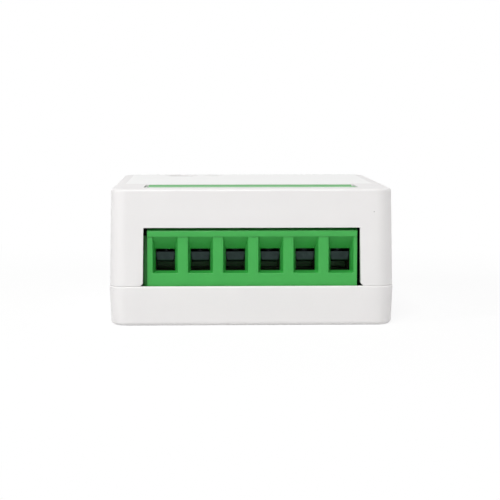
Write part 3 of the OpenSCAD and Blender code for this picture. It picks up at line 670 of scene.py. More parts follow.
def piece(name: str, sheets: Sequence[Sheet], caps: Sequence[np.ndarray] = ()) -> Thing:
    """Welds sheets into one closed mesh with its faces turned outwards.

    Args:
        name: Name of the new object.
        sheets: Surfaces that share their rims.
        caps: Flat outlines that close open ends, one face each.

    Returns:
        The object, at the origin, with its place in its mesh.
    """
    clouds = [sheet.points.reshape(-1, 3) for sheet in sheets] + list(caps)
    starts = np.cumsum([0] + [len(cloud) for cloud in clouds])
    merged, place = np.unique(np.round(np.concatenate(clouds), WELD_DIGITS), axis=0, return_inverse=True)
    place = place.reshape(-1)
    made = [sheet.faces() for sheet in sheets]
    quads = place[np.concatenate([quad + start for (quad, _), start in zip(made, starts)])]
    threes = place[np.concatenate([three + start for (_, three), start in zip(made, starts)])]
    twin = quads == np.roll(quads, -1, axis=1)
    whole = quads[twin.sum(1) == 0]
    pinched = quads[twin.sum(1) == 1]
    narrow = pinched[~twin[twin.sum(1) == 1]].reshape(-1, 3)
    threes = np.concatenate([threes, narrow])
    threes = threes[(threes != np.roll(threes, -1, axis=1)).all(1)]
    outlines = [place[start:start + len(cap)].tolist() for cap, start in zip(caps, starts[len(sheets):])]
    mesh = bpy.data.meshes.new(name)
    mesh.from_pydata(merged * MM, [], whole.tolist() + threes.tolist() + outlines)
    skin = bmesh.new()
    skin.from_mesh(mesh)
    bmesh.ops.recalc_face_normals(skin, faces=skin.faces)
    skin.to_mesh(mesh)
    skin.free()
    mesh.polygons.foreach_set("use_smooth", np.ones(len(mesh.polygons), bool))
    made_piece = bpy.data.objects.new(name, mesh)
    bpy.context.scene.collection.objects.link(made_piece)
    return made_piece


def soften(target: Thing, width_mm: float, segments: int = 2, weld: bool = False) -> None:
    """Breaks the sharp edges of a piece and evens its shading.

    Args:
        target: The piece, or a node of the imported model.
        width_mm: Width of the broken edge.
        segments: Parts of the broken edge.
        weld: Joins loose triangles first and keeps broken edges apart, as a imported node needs.
    """
    if weld:
        joined = target.modifiers.new("joined", "WELD")
        joined.merge_threshold = WELD_GAP
    broken = target.modifiers.new("broken_edges", "BEVEL")
    broken.width = width_mm * MM
    broken.segments = segments
    broken.limit_method = "ANGLE"
    broken.angle_limit = math.radians(SHARP_DEG)
    broken.use_clamp_overlap = weld
    even = target.modifiers.new("even_shading", "WEIGHTED_NORMAL")
    even.keep_sharp = True


def settle(target: Thing, look: Look, body: str, slot: str, *nodes: str) -> None:
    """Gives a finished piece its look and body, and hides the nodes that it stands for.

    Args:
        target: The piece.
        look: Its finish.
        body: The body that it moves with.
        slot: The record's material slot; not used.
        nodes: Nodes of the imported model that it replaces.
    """
    target.data.materials.append(look.material())
    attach(target, body)
    if nodes:
        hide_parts(*nodes)
    LOG.info("%s rides on %s", target.name, body)


# Case


@dataclass(frozen=True)
class CaseSizes:
    """Sizes that both shells share, in mm."""

    width: float = 40.6
    depth: float = 44.0
    height: float = 19.55
    part_z: float = 5.65
    wall: float = 1.6
    corner_r: float = 2.6
    draft: float = 0.25
    inner_r: float = 1.0
    window_half: float = 15.35
    corner_steps: int = 10

    @property
    def core(self) -> Pair:
        """Half width and half depth of the rectangle that joins the corner axes."""
        return self.width / 2 - self.corner_r, self.depth / 2 - self.corner_r

    def walk(self, xs: np.ndarray, ys: np.ndarray) -> tuple[np.ndarray, np.ndarray]:
        """Walks anticlockwise round the corner axes, from the front's left end and back to it.

        Args:
            xs: Stations along the front and the back.
            ys: Stations along the two sides.

        Returns:
            Points on the core rectangle and the outward directions there.
        """
        hx, hy = self.core
        quarter = math.pi / 2
        turn = np.arange(1, self.corner_steps) / self.corner_steps * quarter
        legs = [
            (xs, -hy, -quarter),
            (hx, -hy, turn - quarter),
            (hx, ys, 0.0),
            (hx, hy, turn),
            (xs[::-1], hy, quarter),
            (-hx, hy, turn + quarter),
            (-hx, ys[::-1], math.pi),
            (-hx, -hy, turn + math.pi),
            (xs[:1], -hy, -quarter),
        ]
        way = np.concatenate([grid_of(*leg) for leg in legs])
        return way[:, :2], np.stack([np.cos(way[:, 2]), np.sin(way[:, 2])], axis=-1)

    @staticmethod
    def carry(core: np.ndarray, out: np.ndarray, radius: np.ndarray, height: np.ndarray) -> np.ndarray:
        """Carries a profile round the walk: point = core + radius * outward direction, at the height.

        Args:
            core: Points on the core rectangle.
            out: Outward directions.
            radius: Radii, one row for each profile point and one column for each station, or one column.
            height: Heights, in the same way.

        Returns:
            Grid of points.
        """
        flat = core[None] + radius[..., None] * out[None]
        return grid_of(flat[..., 0], flat[..., 1], height)


@dataclass
class UpperShell:
    """The white cover with the front window, the roof slot and two round holes.

    Its holes are given as X, half the side of the square of roof cells around each, and radius. The levels
    are heights of plain grid lines in the walls, between the lines that the window, groove and roof need.
    """

    case: CaseSizes = field(default_factory=CaseSizes)
    shell_step: float = 0.08
    bevel_w: float = 1.5
    bevel_drop: float = 0.15
    bevel_round: float = 1.2
    edge_round: float = 0.35
    roof_t: float = 1.6
    window_top: float = 13.95
    window_draft: float = 0.12
    window_flare: float = 0.4
    window_levels: Pair = (9.0, 11.5)
    upper_levels: Pair = (15.0, 16.5)
    outer_end: float = 17.5
    inner_end: float = 17.2
    slot_front: float = -19.0
    slot_back: float = -11.4
    hole_y: float = 15.9
    holes: tuple[Triple, ...] = ((-10.4, 3.0, 2.1), (-5.2, 1.9, 1.02))
    hole_reach: float = 2.9
    groove: float = 1.8
    groove_top: float = 6.95
    groove_gap: float = 0.4
    rib: Triple = (1.2, 1.4, 5.0)
    rib_ys: Pair = (-9.45, 15.2)
    edge_break: float = 0.06
    grid_step: float = 1.0

    def window_shift(self, z: np.ndarray) -> np.ndarray:
        """Gives how far a window side stands outside its top corner: a lean, and a flare at the foot."""
        foot = self.case.part_z + self.window_flare
        lean = self.window_draft * np.clip((self.window_top - z) / (self.window_top - foot), 0, 1)
        return lean + np.clip(foot - z, 0, None)

    def stations(self) -> tuple[np.ndarray, np.ndarray]:
        """Chooses the grid lines across the roof so that every opening has its own.

        Returns:
            Stations along X and along Y.
        """
        hx, hy = self.case.core
        half = self.case.window_half
        edges = [x + s * reach for x, reach, _ in self.holes for s in (-1, 1)]
        xs = ticks(sorted({-hx, -half, half, hx, *edges}), self.grid_step)
        ys = ticks([-hy, self.slot_front, self.slot_back, self.hole_y - self.hole_reach,
                    self.hole_y + self.hole_reach, hy], self.grid_step)
        return xs, ys

    def bend(self, grid: np.ndarray, xs: np.ndarray) -> None:
        """Moves the front wall's grid lines to the window's leaning sides, less and less away from them.

        Args:
            grid: Points of one wall, changed in place.
            xs: Stations along the front.
        """
        half = self.case.window_half
        share = np.where(np.abs(xs) <= half, np.abs(xs) / half,
                         1 - (np.abs(xs) - half) / (self.case.core[0] - half))
        front = grid[:, :len(xs)]
        front[..., 0] += np.sign(xs) * share * self.window_shift(front[..., 2])

    def walls(self, xs: np.ndarray, ys: np.ndarray) -> tuple[np.ndarray, np.ndarray, int]:
        """Builds the outer and the inner wall up to the roof's core rectangle.

        Args:
            xs: Stations along X.
            ys: Stations along Y.

        Returns:
            Outer grid, inner grid, and the row at the window's top.
        """
        case = self.case
        core, out = case.walk(xs, ys)
        foot_r = case.corner_r - self.shell_step
        top_r = foot_r - case.draft
        brim = case.height - self.bevel_drop
        levels = np.array([case.part_z, case.part_z + self.window_flare / 2, case.part_z + self.window_flare,
                           self.groove_top, self.groove_top + self.groove_gap, *self.window_levels,
                           self.window_top, *self.upper_levels])
        roof = rounded([(top_r, self.outer_end), (top_r, brim), (top_r - self.bevel_w, case.height),
                        (0.0, case.height)], [self.edge_round, self.bevel_round])
        lean = (levels - case.part_z) / (brim - case.part_z)
        profile = np.concatenate([np.stack([foot_r - case.draft * lean, levels], axis=-1), roof])
        outer = case.carry(core, out, profile[:, :1], profile[:, 1:])
        ceiling = case.height - self.roof_t
        rows = np.concatenate([levels, [self.inner_end, ceiling, ceiling]])[:, None]
        held = core[:, 1] > NEAR - case.core[1]
        grooved = rows <= self.groove_top
        radius = np.where(held & grooved, self.groove, case.inner_r)
        radius[-1] = 0.0
        tall = np.broadcast_to(rows, radius.shape).copy()
        tall[grooved.sum(), held] = self.groove_top
        inner = case.carry(core, out, radius, tall)
        self.bend(outer, xs)
        self.bend(inner, xs)
        return outer, inner, index_of(levels, self.window_top)

    def build(self) -> None:
        """Makes the cover and its four ribs, and dresses them."""
        case = self.case
        xs, ys = self.stations()
        outer, inner, top_row = self.walls(xs, ys)
        left, right = span_of(xs, -case.window_half, case.window_half)
        window = [((0, top_row), (left, right))]
        sheets = [
            Sheet(outer, cells_off(outer.shape, window)),
            Sheet(inner, cells_off(inner.shape, window)),
            bridge(outer[0], inner[0], cells_off((2, outer.shape[1]), [((0, 1), (left, right))])),
            bridge(outer[:top_row + 1, left], inner[:top_row + 1, left]),
            bridge(outer[:top_row + 1, right], inner[:top_row + 1, right]),
            bridge(outer[top_row, left:right + 1], inner[top_row, left:right + 1]),
        ]
        slot = (span_of(ys, self.slot_front, self.slot_back), (left, right))
        rows = span_of(ys, self.hole_y - self.hole_reach, self.hole_y + self.hole_reach)
        blocks = [(rows, span_of(xs, x - reach, x + reach)) for x, reach, _ in self.holes]
        faces = [grid_of(xs, ys[:, None], z) for z in (case.height, case.height - self.roof_t)]
        sheets += [Sheet(grid, cells_off(grid.shape, [slot, *blocks])) for grid in faces]
        sheets.append(bridge(block_loop(faces[0], *slot), block_loop(faces[1], *slot)))
        for block, (x, _, radius) in zip(blocks, self.holes):
            rims = [block_loop(grid, *block) for grid in faces]
            circles = [ring_on(rim, (x, self.hole_y), radius, rim[0, 2]) for rim in rims]
            sheets.append(Sheet(np.stack([rims[0], circles[0], circles[1], rims[1]])))
        cover = piece("upper_shell_cover", sheets)
        soften(cover, self.edge_break, segments=3)
        settle(cover, Look.COVER, "module", "case_plastic", "upper_shell")
        settle(self.ribs(), Look.CASE, "module", "case_plastic")

    def ribs(self) -> Thing:
        """Makes the four ribs that hold the board down: rounded bars from the roof to the board.

        Returns:
            The ribs as one piece.
        """
        reach, thick, foot = self.rib
        face = self.case.width / 2 - self.case.wall
        sheets = [bar((side * (face - reach / 2), y), (reach, thick), (foot, self.case.height - self.roof_t))
                  for side in (-1, 1) for y in self.rib_ys]
        return piece("upper_shell_ribs", sheets)


@dataclass
class LowerShell:
    """The white tray: a swept wall with a round foot, a locating lip and four board posts.

    The radii in rim_grid, rim_r, seat_mid and wall_end place plain grid lines on flat faces.
    """

    case: CaseSizes = field(default_factory=CaseSizes)
    base_round: float = 0.65
    rim_round: float = 0.22
    rim_r: float = 2.25
    rim_grid: tuple[float, ...] = (1.8, 1.65, 1.5, 1.35, 1.2)
    round_steps: int = 8
    floor_t: float = 1.6
    floor_round: float = 0.4
    wall_end: float = 4.5
    lip_h: float = 1.2
    lip_outer: float = 1.7
    lip_inner: float = 1.15
    lip_break: float = 0.15
    seat_r: float = 2.1
    seat_z: float = 4.9
    seat_mid: float = 5.2
    post_xy: Pair = (16.4, 18.1)
    post_profile: tuple[Pair, ...] = ((0.0, 1.5), (1.8, 1.5), (1.8, 3.4), (0.8, 3.4), (0.8, 4.8), (0.0, 4.8))
    post_steps: int = 32
    post_break: float = 0.1
    grid_step: float = 1.2

    def rims(self) -> np.ndarray:
        """Gives the rim's three sections: with the lip, plain beside the window, and stepped below it.

        Returns:
            Radius and height of every point of each section.
        """
        case = self.case
        lip_top = case.part_z + self.lip_h
        lip = [(self.lip_outer, case.part_z), (self.lip_outer, lip_top - self.lip_break),
               (self.lip_outer - self.lip_break, lip_top), (self.lip_inner, lip_top),
               (self.lip_inner, case.part_z), (case.inner_r, case.part_z)]
        plain = [(r, case.part_z) for r in (*self.rim_grid, case.inner_r)]
        step = [(self.seat_r, z) for z in (case.part_z, self.seat_mid, self.seat_z)]
        step += [(r, self.seat_z) for r in (*self.rim_grid[-2:], case.inner_r)]
        return np.array([lip, plain, step])

    def build(self) -> None:
        """Makes the tray and its posts, and dresses them."""
        case = self.case
        hx, hy = case.core
        xs = ticks([-hx, -case.window_half, case.window_half, hx], self.grid_step)
        ys = ticks([-hy, -hy + case.wall, hy], self.grid_step)
        core, out = case.walk(xs, ys)
        outer = rounded([(0.0, 0.0), (case.corner_r - case.draft, 0.0), (case.corner_r, case.part_z),
                         (self.rim_r, case.part_z)], [self.base_round, self.rim_round], self.round_steps)
        wall = case.carry(core, out, outer[:, :1], outer[:, 1:])
        held = core[:, 1] > -hy + case.wall / 2
        seat = np.isclose(out[:, 1], -1.0) & (np.abs(core[:, 0]) < case.window_half + NEAR)
        lip, plain, step = self.rims()
        rim = np.where(held[:, None], lip[:, None], np.where(seat[:, None], step[:, None], plain[:, None]))
        foot = rounded([(case.inner_r, self.wall_end), (case.inner_r, self.floor_t), (0.0, self.floor_t)],
                       [self.floor_round])
        inner = np.concatenate([rim, np.broadcast_to(foot[:, None], (len(foot),) + rim.shape[1:])])
        hollow = case.carry(core, out, inner[..., 0], inner[..., 1])
        sheets = [Sheet(wall), Sheet(hollow), bridge(wall[-1], hollow[0])]
        sheets += [Sheet(grid_of(xs, ys[:, None], z)) for z in (0.0, self.floor_t)]
        settle(piece("lower_shell_tray", sheets), Look.CASE, "module", "case_plastic", "lower_shell")
        profile = np.array(self.post_profile)
        posts = piece("lower_shell_posts",
                      [revolve(profile, (sx * self.post_xy[0], sy * self.post_xy[1]), self.post_steps)
                       for sx in (-1, 1) for sy in (-1, 1)])
        soften(posts, self.post_break)
        settle(posts, Look.CASE, "module", "case_plastic")


# Terminals


@dataclass(frozen=True)
class PoleSizes:
    """Sizes that the terminal block and its clamps share, in mm."""

    count: int = 6
    pitch: float = 5.0
    shift: float = 0.2
    screw_y: float = -14.55
    entry_half: float = 1.38
    entry_floor: float = 7.68
    entry_top: float = 10.82
    cavity_half: float = 1.9
    cavity_front: float = -19.3
    cavity_back: float = -12.55
    cavity_top: float = 12.08

    def centres(self) -> np.ndarray:
        """Gives the X of every pole."""
        return (np.arange(self.count) - (self.count - 1) / 2) * self.pitch + self.shift

    def entry_levels(self) -> np.ndarray:
        """Gives the heights of a wire entry's floor, middle and top."""
        return np.array([self.entry_floor, (self.entry_floor + self.entry_top) / 2, self.entry_top])


@dataclass
class TerminalBlock:
    """The green block: one outline along X, with a funnel, a cavity and a screw well for each pole.

    Its top is a shallow trough: a ledge in front, a floor that holds the wells, and a slope up to the back
    rim. The levels are heights of plain grid lines in its face and back, and block_half and foot_margins
    reach from a pole's openings to the edge of the grid cells around them.
    """

    pole: PoleSizes = field(default_factory=PoleSizes)
    face_y: float = -21.4
    back_y: float = -11.75
    neck_y: float = -18.65
    brow: Pair = (-20.1, 13.6)
    rounds: Triple = (0.25, 0.25, 0.3)
    round_steps: int = 4
    brow_lip: float = 0.12
    foot_z: float = 5.0
    face_level: float = 6.2
    back_levels: Pair = (9.0, 14.0)
    shoulder_z: float = 17.15
    top_z: float = 19.55
    end_rib: float = 0.7
    end_trim: float = 0.15
    rib_y: float = -19.1
    cell_half: float = 1.775
    cell_floor: float = 7.45
    cell_top: float = 12.65
    funnel_d: float = 1.8
    shank_r: float = 1.45
    well_r: float = 1.85
    well_z: float = 14.85
    block_half: float = 2.2
    block_cols: int = 6
    block_rows: int = 8
    foot_margins: Pair = (0.5, 0.4)
    trough: float = 0.22
    trough_half: float = 1.95
    edge_break: float = 0.05

    def columns(self) -> tuple[np.ndarray, np.ndarray]:
        """Chooses the grid lines of one pole.

        Returns:
            Stations across a pole, and the same ones at the cavity's walls.
        """
        pole = self.pole
        middle = np.linspace(-pole.entry_half, pole.entry_half, self.block_cols + 1)
        side = np.array([self.block_half, self.cell_half])
        inner = np.array([pole.cavity_half, (pole.cavity_half + pole.entry_half) / 2])
        return np.concatenate([-side, middle, side[::-1]]), np.concatenate([-inner, middle, inner[::-1]])

    def front(self, xs: np.ndarray) -> Sheet:
        """Builds the face with its funnels and the slope above it, up to the top's front edge.

        Inside a funnel the grid's inner lines go back by the funnel's depth, so each funnel is a hollow with
        four sloping sides; the cells at its corners are cut along the line where two sides meet.

        Args:
            xs: Stations along X.

        Returns:
            The front surface, open at the wire entries.
        """
        pole = self.pole
        flat = np.array([self.foot_z, self.face_level, self.cell_floor, *pole.entry_levels(), self.cell_top])
        above = rounded([(self.face_y, self.cell_top), (self.face_y, self.brow[1]), self.brow,
                         (self.neck_y, self.shoulder_z), (self.neck_y, self.top_z)],
                        self.rounds, self.round_steps)
        line_y = np.concatenate([np.full(len(flat), self.face_y + self.brow_lip), above[:, 0]])
        line_z = np.concatenate([flat, above[:, 1]])
        grid = grid_of(xs, line_y[:, None], line_z[:, None])
        away = xs[:, None] - pole.centres()
        off = np.take_along_axis(away, np.abs(away).argmin(1)[:, None], axis=1)[:, 0]
        low, high = span_of(flat, pole.entry_floor, pole.entry_top)
        grid[low:high + 1, np.abs(off) < pole.entry_half + NEAR, 1] += self.funnel_d - self.brow_lip
        middles = (xs[:-1] + xs[1:]) / 2
        entry = np.abs(middles[:, None] - pole.centres()).min(1) < pole.entry_half
        keep = np.ones((grid.shape[0] - 1, grid.shape[1] - 1), bool)
        keep[low:high, entry] = False
        split = np.full(keep.shape, Cut.WHOLE)
        left_edge = np.isclose(off[:-1], -self.cell_half) & np.isclose(off[1:], -pole.entry_half)
        right_edge = np.isclose(off[:-1], pole.entry_half) & np.isclose(off[1:], self.cell_half)
        for row, first, second in ((low - 1, left_edge, right_edge), (high, right_edge, left_edge)):
            split[row, first] = Cut.FIRST
            split[row, second] = Cut.SECOND
        return Sheet(grid, keep, split)

    def build(self) -> None:
        """Makes the block and dresses it."""
        pole = self.pole
        column, inner_column = self.columns()
        right = pole.count * pole.pitch / 2
        left = self.end_trim - right
        borders = pole.centres()[:-1] + pole.pitch / 2
        lines = [(pole.centres()[:, None] + column).ravel(), borders, [left, right]]
        xs = np.unique(np.round(np.concatenate(lines), WELD_DIGITS))
        front = self.front(xs)
        rows = self.block_rows + 1
        wells = pole.screw_y + np.linspace(-self.trough_half, self.trough_half, rows)
        top_ys = np.concatenate([[self.neck_y, wells[0] - self.edge_break], wells, [self.back_y]])
        top_zs = self.top_z - self.trough * np.isin(top_ys, wells)
        ahead, behind = self.foot_margins
        holes = np.linspace(pole.cavity_front - ahead, pole.cavity_back + behind, rows)
        low_ys = np.concatenate([[self.face_y + self.brow_lip], holes, [self.back_y]])
        back_zs = np.array([self.foot_z, *self.back_levels, self.top_z])
        top = grid_of(xs, top_ys[:, None], top_zs[:, None])
        low = grid_of(xs, low_ys[:, None], self.foot_z)
        back = grid_of(xs, self.back_y, back_zs[:, None])
        spans = [span_of(xs, x - self.block_half, x + self.block_half) for x in pole.centres()]
        top_blocks = [(span_of(top_ys, wells[0], wells[-1]), span) for span in spans]
        low_blocks = [(span_of(low_ys, holes[0], holes[-1]), span) for span in spans]
        sheets = [front, Sheet(top, cells_off(top.shape, top_blocks)),
                  Sheet(low, cells_off(low.shape, low_blocks)), Sheet(back)]
        for x, above, below in zip(pole.centres(), top_blocks, low_blocks):
            sheets += self.pole_sheets(x, block_loop(top, *above), block_loop(low, *below), inner_column)
        ends = [np.concatenate([front.points[:, side], top[1:, side], back[-2::-1, side], low[-2:0:-1, side]])
                for side in (0, -1)]
        rib_x = left - self.end_rib / 2 + self.edge_break
        sheets.append(bar((rib_x, (self.rib_y + self.neck_y) / 2), (self.end_rib, self.neck_y - self.rib_y),
                          (self.foot_z, self.cell_top)))
        block_piece = piece("terminal_block_body", sheets, ends)
        soften(block_piece, self.edge_break)
        settle(block_piece, Look.TERMINAL, "module", "terminal_plastic", "terminal_block")

    def pole_sheets(self, x: float, top_loop: np.ndarray, low_loop: np.ndarray,
                    column: np.ndarray) -> list[Sheet]:
        """Builds one pole's inside: a section carried upwards from the foot to the well's rim.

        The section is the cavity's rectangle, then the shank's circle, then the well's circle.

        Args:
            x: The pole's X.
            top_loop: Rim of the opening in the top.
            low_loop: Rim of the opening in the foot.
            column: Stations across the cavity.

        Returns:
            The inside and the tunnel from the funnel into it.
        """
        pole = self.pole
        rows = np.linspace(pole.cavity_front, pole.cavity_back, self.block_rows + 1)
        rim = rim_of(grid_of(x + column, rows[:, None], 0.0))
        levels = np.array([self.foot_z, *pole.entry_levels(), pole.cavity_top])
        box = grid_of(rim[:, 0], rim[:, 1], levels[:, None])
        circles = [ring_on(top_loop, (x, pole.screw_y), r, z) for r, z in
                   ((self.shank_r, pole.cavity_top), (self.shank_r, self.well_z), (self.well_r, self.well_z),
                    (self.well_r, self.top_z - self.trough))]
        inside = np.concatenate([low_loop[None], box, np.stack(circles), top_loop[None]])
        first, last = span_of(column, -pole.entry_half, pole.entry_half)
        floor, crest = span_of(levels, pole.entry_floor, pole.entry_top)
        # The foot's rim is the section's first row, so the box's rows are counted from one
        gate = ((floor + 1, crest + 1), (first, last))
        loop = rim_of(grid_of(x + column[first:last + 1], 0.0, pole.entry_levels()[:, None]))
        ends = np.array([[self.face_y + self.funnel_d], [pole.cavity_front]])
        tunnel = grid_of(loop[:, 0], ends, loop[:, 2])
        return [Sheet(inside, cells_off(inside.shape, [gate])), Sheet(tunnel)]


@dataclass
class WireClamp:
    """One pole's moving metal: the bent guard and the slotted screw that drives it.

    No chord of the head lies closer to the slot's walls than chord_gap, in radians, except the walls' own.
    """

    pole: PoleSizes = field(default_factory=PoleSizes)
    guard_z: float = 8.88
    guard_t: float = 0.4
    guard_break: float = 0.06
    flap_h: float = 1.5
    flap_y: float = -19.15
    flap_half: float = 1.55
    flap_slope: float = 0.25
    tail_y: float = -12.95
    plate_half: float = 1.25
    bend_r: float = 0.45
    bend_steps: int = 6
    screw_r: float = 1.25
    thread_depth: float = 0.17
    thread_rows: int = 130
    lead: float = 0.45
    tip_h: float = 0.3
    tip_share: float = 0.75
    head_r: float = 1.7
    head_z: float = 16.15
    head_h: float = 1.5
    head_sink: float = 0.1
    head_break: Pair = (0.22, 0.2)
    head_chords: int = 24
    chord_gap: float = 0.04
    driver_half: float = 0.3
    driver_t: float = 0.8
    grid_cols: int = 9
    round_steps: int = 32

    def guard(self, number: int, x: float) -> Thing:
        """Bends a strip: an L-shaped outline with a round bend, carried across X, wider at the flap.

        Args:
            number: The pole's number.
            x: The pole's X.

        Returns:
            The guard.
        """
        top = self.guard_z + self.guard_t
        crest = self.guard_z + self.flap_h
        inner_y = self.flap_y + self.guard_t
        lower = rounded([(self.tail_y, self.guard_z), (self.flap_y, self.guard_z), (self.flap_y, crest)],
                        [self.bend_r], self.bend_steps)
        upper = rounded([(self.tail_y, top), (inner_y, top), (inner_y, crest)],
                        [self.bend_r - self.guard_t], self.bend_steps)
        outline = np.concatenate([lower, upper[::-1], lower[:1]])
        rise = np.clip((outline[:, 1:] - top) / self.flap_slope, 0, 1)
        wide = self.plate_half + rise * (self.flap_half - self.plate_half)
        grid = grid_of(x + wide * np.linspace(-1, 1, self.grid_cols), outline[:, :1], outline[:, 1:])
        strips = [bridge(grid[:len(lower), side], grid[len(lower):-1, side][::-1]) for side in (0, -1)]
        return piece(f"wire_guard_strip_{number}", [Sheet(grid), *strips])

    def screw(self, number: int, x: float) -> Thing:
        """Turns a screw: a shank whose radius follows the thread, and a slotted head.

        The shank's radius is screw_r - depth * (1 - cos(2 pi z / lead - angle)) / 2, which is one helical
        thread; the head is a grid of chords, with the chords between the slot's walls let down.

        Args:
            number: The pole's number.
            x: The pole's X.

        Returns:
            The screw.
        """
        y = self.pole.screw_y
        angle = np.linspace(0, 2 * math.pi, self.round_steps + 1)
        base = self.guard_z + self.guard_t
        z = np.linspace(base, self.head_z + self.head_sink, self.thread_rows)[:, None]
        wave = (1 - np.cos(2 * math.pi * z / self.lead - angle)) / 2
        taper = self.tip_share + (1 - self.tip_share) * np.clip((z - base) / self.tip_h, 0, 1)
        radius = (self.screw_r - self.thread_depth * wave) * taper
        grid = grid_of(x + radius * np.cos(angle), y + radius * np.sin(angle), z)
        ends = [bridge(np.broadcast_to((x, y, z[end, 0]), grid[end].shape), grid[end]) for end in (0, -1)]
        return piece(f"terminal_screw_shank_{number}", [Sheet(grid), *ends, *self.head(x)])

    def head(self, x: float) -> list[Sheet]:
        """Builds the slotted head as chords: y = v sqrt(R^2 - x^2), with v from -1 to 1.

        Args:
            x: The pole's X.

        Returns:
            Top, foot and rim of the head.
        """
        turn = np.linspace(0, math.pi, self.head_chords + 1)
        cut = math.acos(self.driver_half / self.head_r)
        clear = np.abs(np.abs(turn - math.pi / 2) - (math.pi / 2 - cut)) > self.chord_gap
        turn = np.sort(np.concatenate([turn[clear], [cut, cut, math.pi - cut, math.pi - cut]]))
        across = -np.cos(turn)
        chord = np.sin(turn) * np.linspace(-1, 1, self.grid_cols)[:, None]
        deep = np.abs(across) * self.head_r < self.driver_half + TINY
        deep[np.flatnonzero(deep)[[0, -1]]] = False
        crest = self.head_z + self.head_h
        tall = np.where(deep, crest - self.driver_t, crest)
        drawn_in, drawn_down = self.head_break
        levels = ((tall, self.head_r - drawn_in), (np.minimum(tall, crest - drawn_down), self.head_r),
                  (self.head_z, self.head_r))
        top, rim, foot = (grid_of(x + across * reach, self.pole.screw_y + chord * reach, height)
                          for height, reach in levels)
        sides = [Sheet(np.stack([top[end], rim[end], foot[end]])) for end in (0, -1)]
        return [Sheet(top), Sheet(foot), *sides]

    def build(self) -> None:
        """Makes every pole's guard and screw, and dresses them."""
        for number, x in enumerate(self.pole.centres(), start=1):
            strip = self.guard(number, x)
            soften(strip, self.guard_break)
            settle(strip, Look.GUARD, f"guard_{number}", "nickel_steel", f"wire_guard_{number}")
            shank = self.screw(number, x)
            settle(shank, Look.SCREW, f"screw_{number}", "zinc_steel", f"terminal_screw_{number}")


# Button, light and circuit


@dataclass
class RoofControls:
    """The pairing button and the light pipe in the roof."""

    button_xy: Pair = (-10.4, 15.9)
    button_r: float = 2.0
    button_flange: float = 0.8
    button_foot: float = 12.0
    button_rounds: tuple[float, ...] = (0.2, 0.2, 0.15, 0.15, 0.08, 0.3, 1.0)
    button_steps: int = 64
    stem_r: float = 1.3
    dish_r: float = 1.5
    dish_drops: Pair = (0.02, 0.28)
    pipe_xy: Pair = (-5.2, 15.9)
    pipe_r: float = 1.0
    pipe_flange: float = 0.6
    pipe_foot: float = 6.4
    pipe_rounds: tuple[float, ...] = (0.1, 0.15, 0.1, 0.1, 0.08, 0.3)
    pipe_steps: int = 48
    pipe_dome: float = 0.15
    top_z: float = 19.45
    roof_z: float = 17.95
    flange_t: float = 0.8

    def build(self) -> None:
        """Turns both pieces and dresses them."""
        under = self.roof_z - self.flange_t
        rim = self.button_r + self.button_flange
        edge_drop, middle_drop = self.dish_drops
        button = rounded([(0, self.button_foot), (self.stem_r, self.button_foot), (self.stem_r, under),
                          (rim, under), (rim, self.roof_z), (self.button_r, self.roof_z),
                          (self.button_r, self.top_z), (self.dish_r, self.top_z - edge_drop),
                          (0, self.top_z - middle_drop)], self.button_rounds)
        knob = piece("pairing_button_cap", [revolve(button, self.button_xy, self.button_steps)])
        settle(knob, Look.CASE, "button", "case_plastic", "pairing_button")
        brim = self.pipe_r + self.pipe_flange
        pipe = rounded([(0, self.pipe_foot), (self.pipe_r, self.pipe_foot), (self.pipe_r, under),
                        (brim, under), (brim, self.roof_z), (self.pipe_r, self.roof_z),
                        (self.pipe_r, self.top_z - self.pipe_dome), (0, self.top_z)], self.pipe_rounds)
        rod = piece("light_pipe_rod", [revolve(pipe, self.pipe_xy, self.pipe_steps)])
        settle(rod, Look.PIPE, "module", "clear_acrylic", "light_pipe")


@dataclass
class Circuit:
    """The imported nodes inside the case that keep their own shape."""

    frame: dict[str, Any]
    edge_break: float = 0.04
    looks: dict[Look, tuple[str, ...]] = field(default_factory=lambda: {
        Look.BOARD: ("main_board",),
        Look.RADIO: ("radio_board",),
        Look.FRAME: ("contact_frames",),
        Look.SHEET: ("switch_frame", "switch_dome", "radio_shield"),
        Look.LED: ("status_led",),
        Look.BLACK: ("switch_body", "switch_plunger", "relay_base", "relay_cover"),
        Look.NYLON: ("relay_bobbin",),
        Look.RELAY_WIRE: ("relay_winding",),
        Look.COIL_WIRE: ("inductor_winding",),
        Look.IRON: ("relay_core", "relay_yoke", "relay_armature"),
        Look.BRONZE: ("relay_moving_contact", "relay_fixed_contacts"),
        Look.TIN: ("switch_legs", "relay_coil_pins", "component_leads", "chip_leads", "solder_joints"),
        Look.CAN: ("bulk_capacitor_can", "output_capacitor_can"),
        Look.FILM: ("bulk_capacitor_sleeve", "output_capacitor_sleeve"),
        Look.FERRITE: ("inductor_core",),
        Look.DIPPED: ("varistor",),
        Look.LACQUER: ("fuse_resistor",),
        Look.EPOXY: ("bridge_rectifier", "power_controller", "voltage_regulator", "driver_transistor",
                     "flyback_diode", "radio_chip", "chip_resistors"),
        Look.CERAMIC: ("chip_capacitors",),
        Look.GOLD: ("antenna",),
    })

    def build(self) -> None:
        """Dresses every inner node."""
        for look, names in self.looks.items():
            for name in names:
                node = self.frame["nodes"][name]
                node.data.materials.clear()
                node.data.materials.append(look.material())
                soften(node, self.edge_break, weld=True)
                LOG.info("%s dressed as %s", name, look.value.name)


# Stage


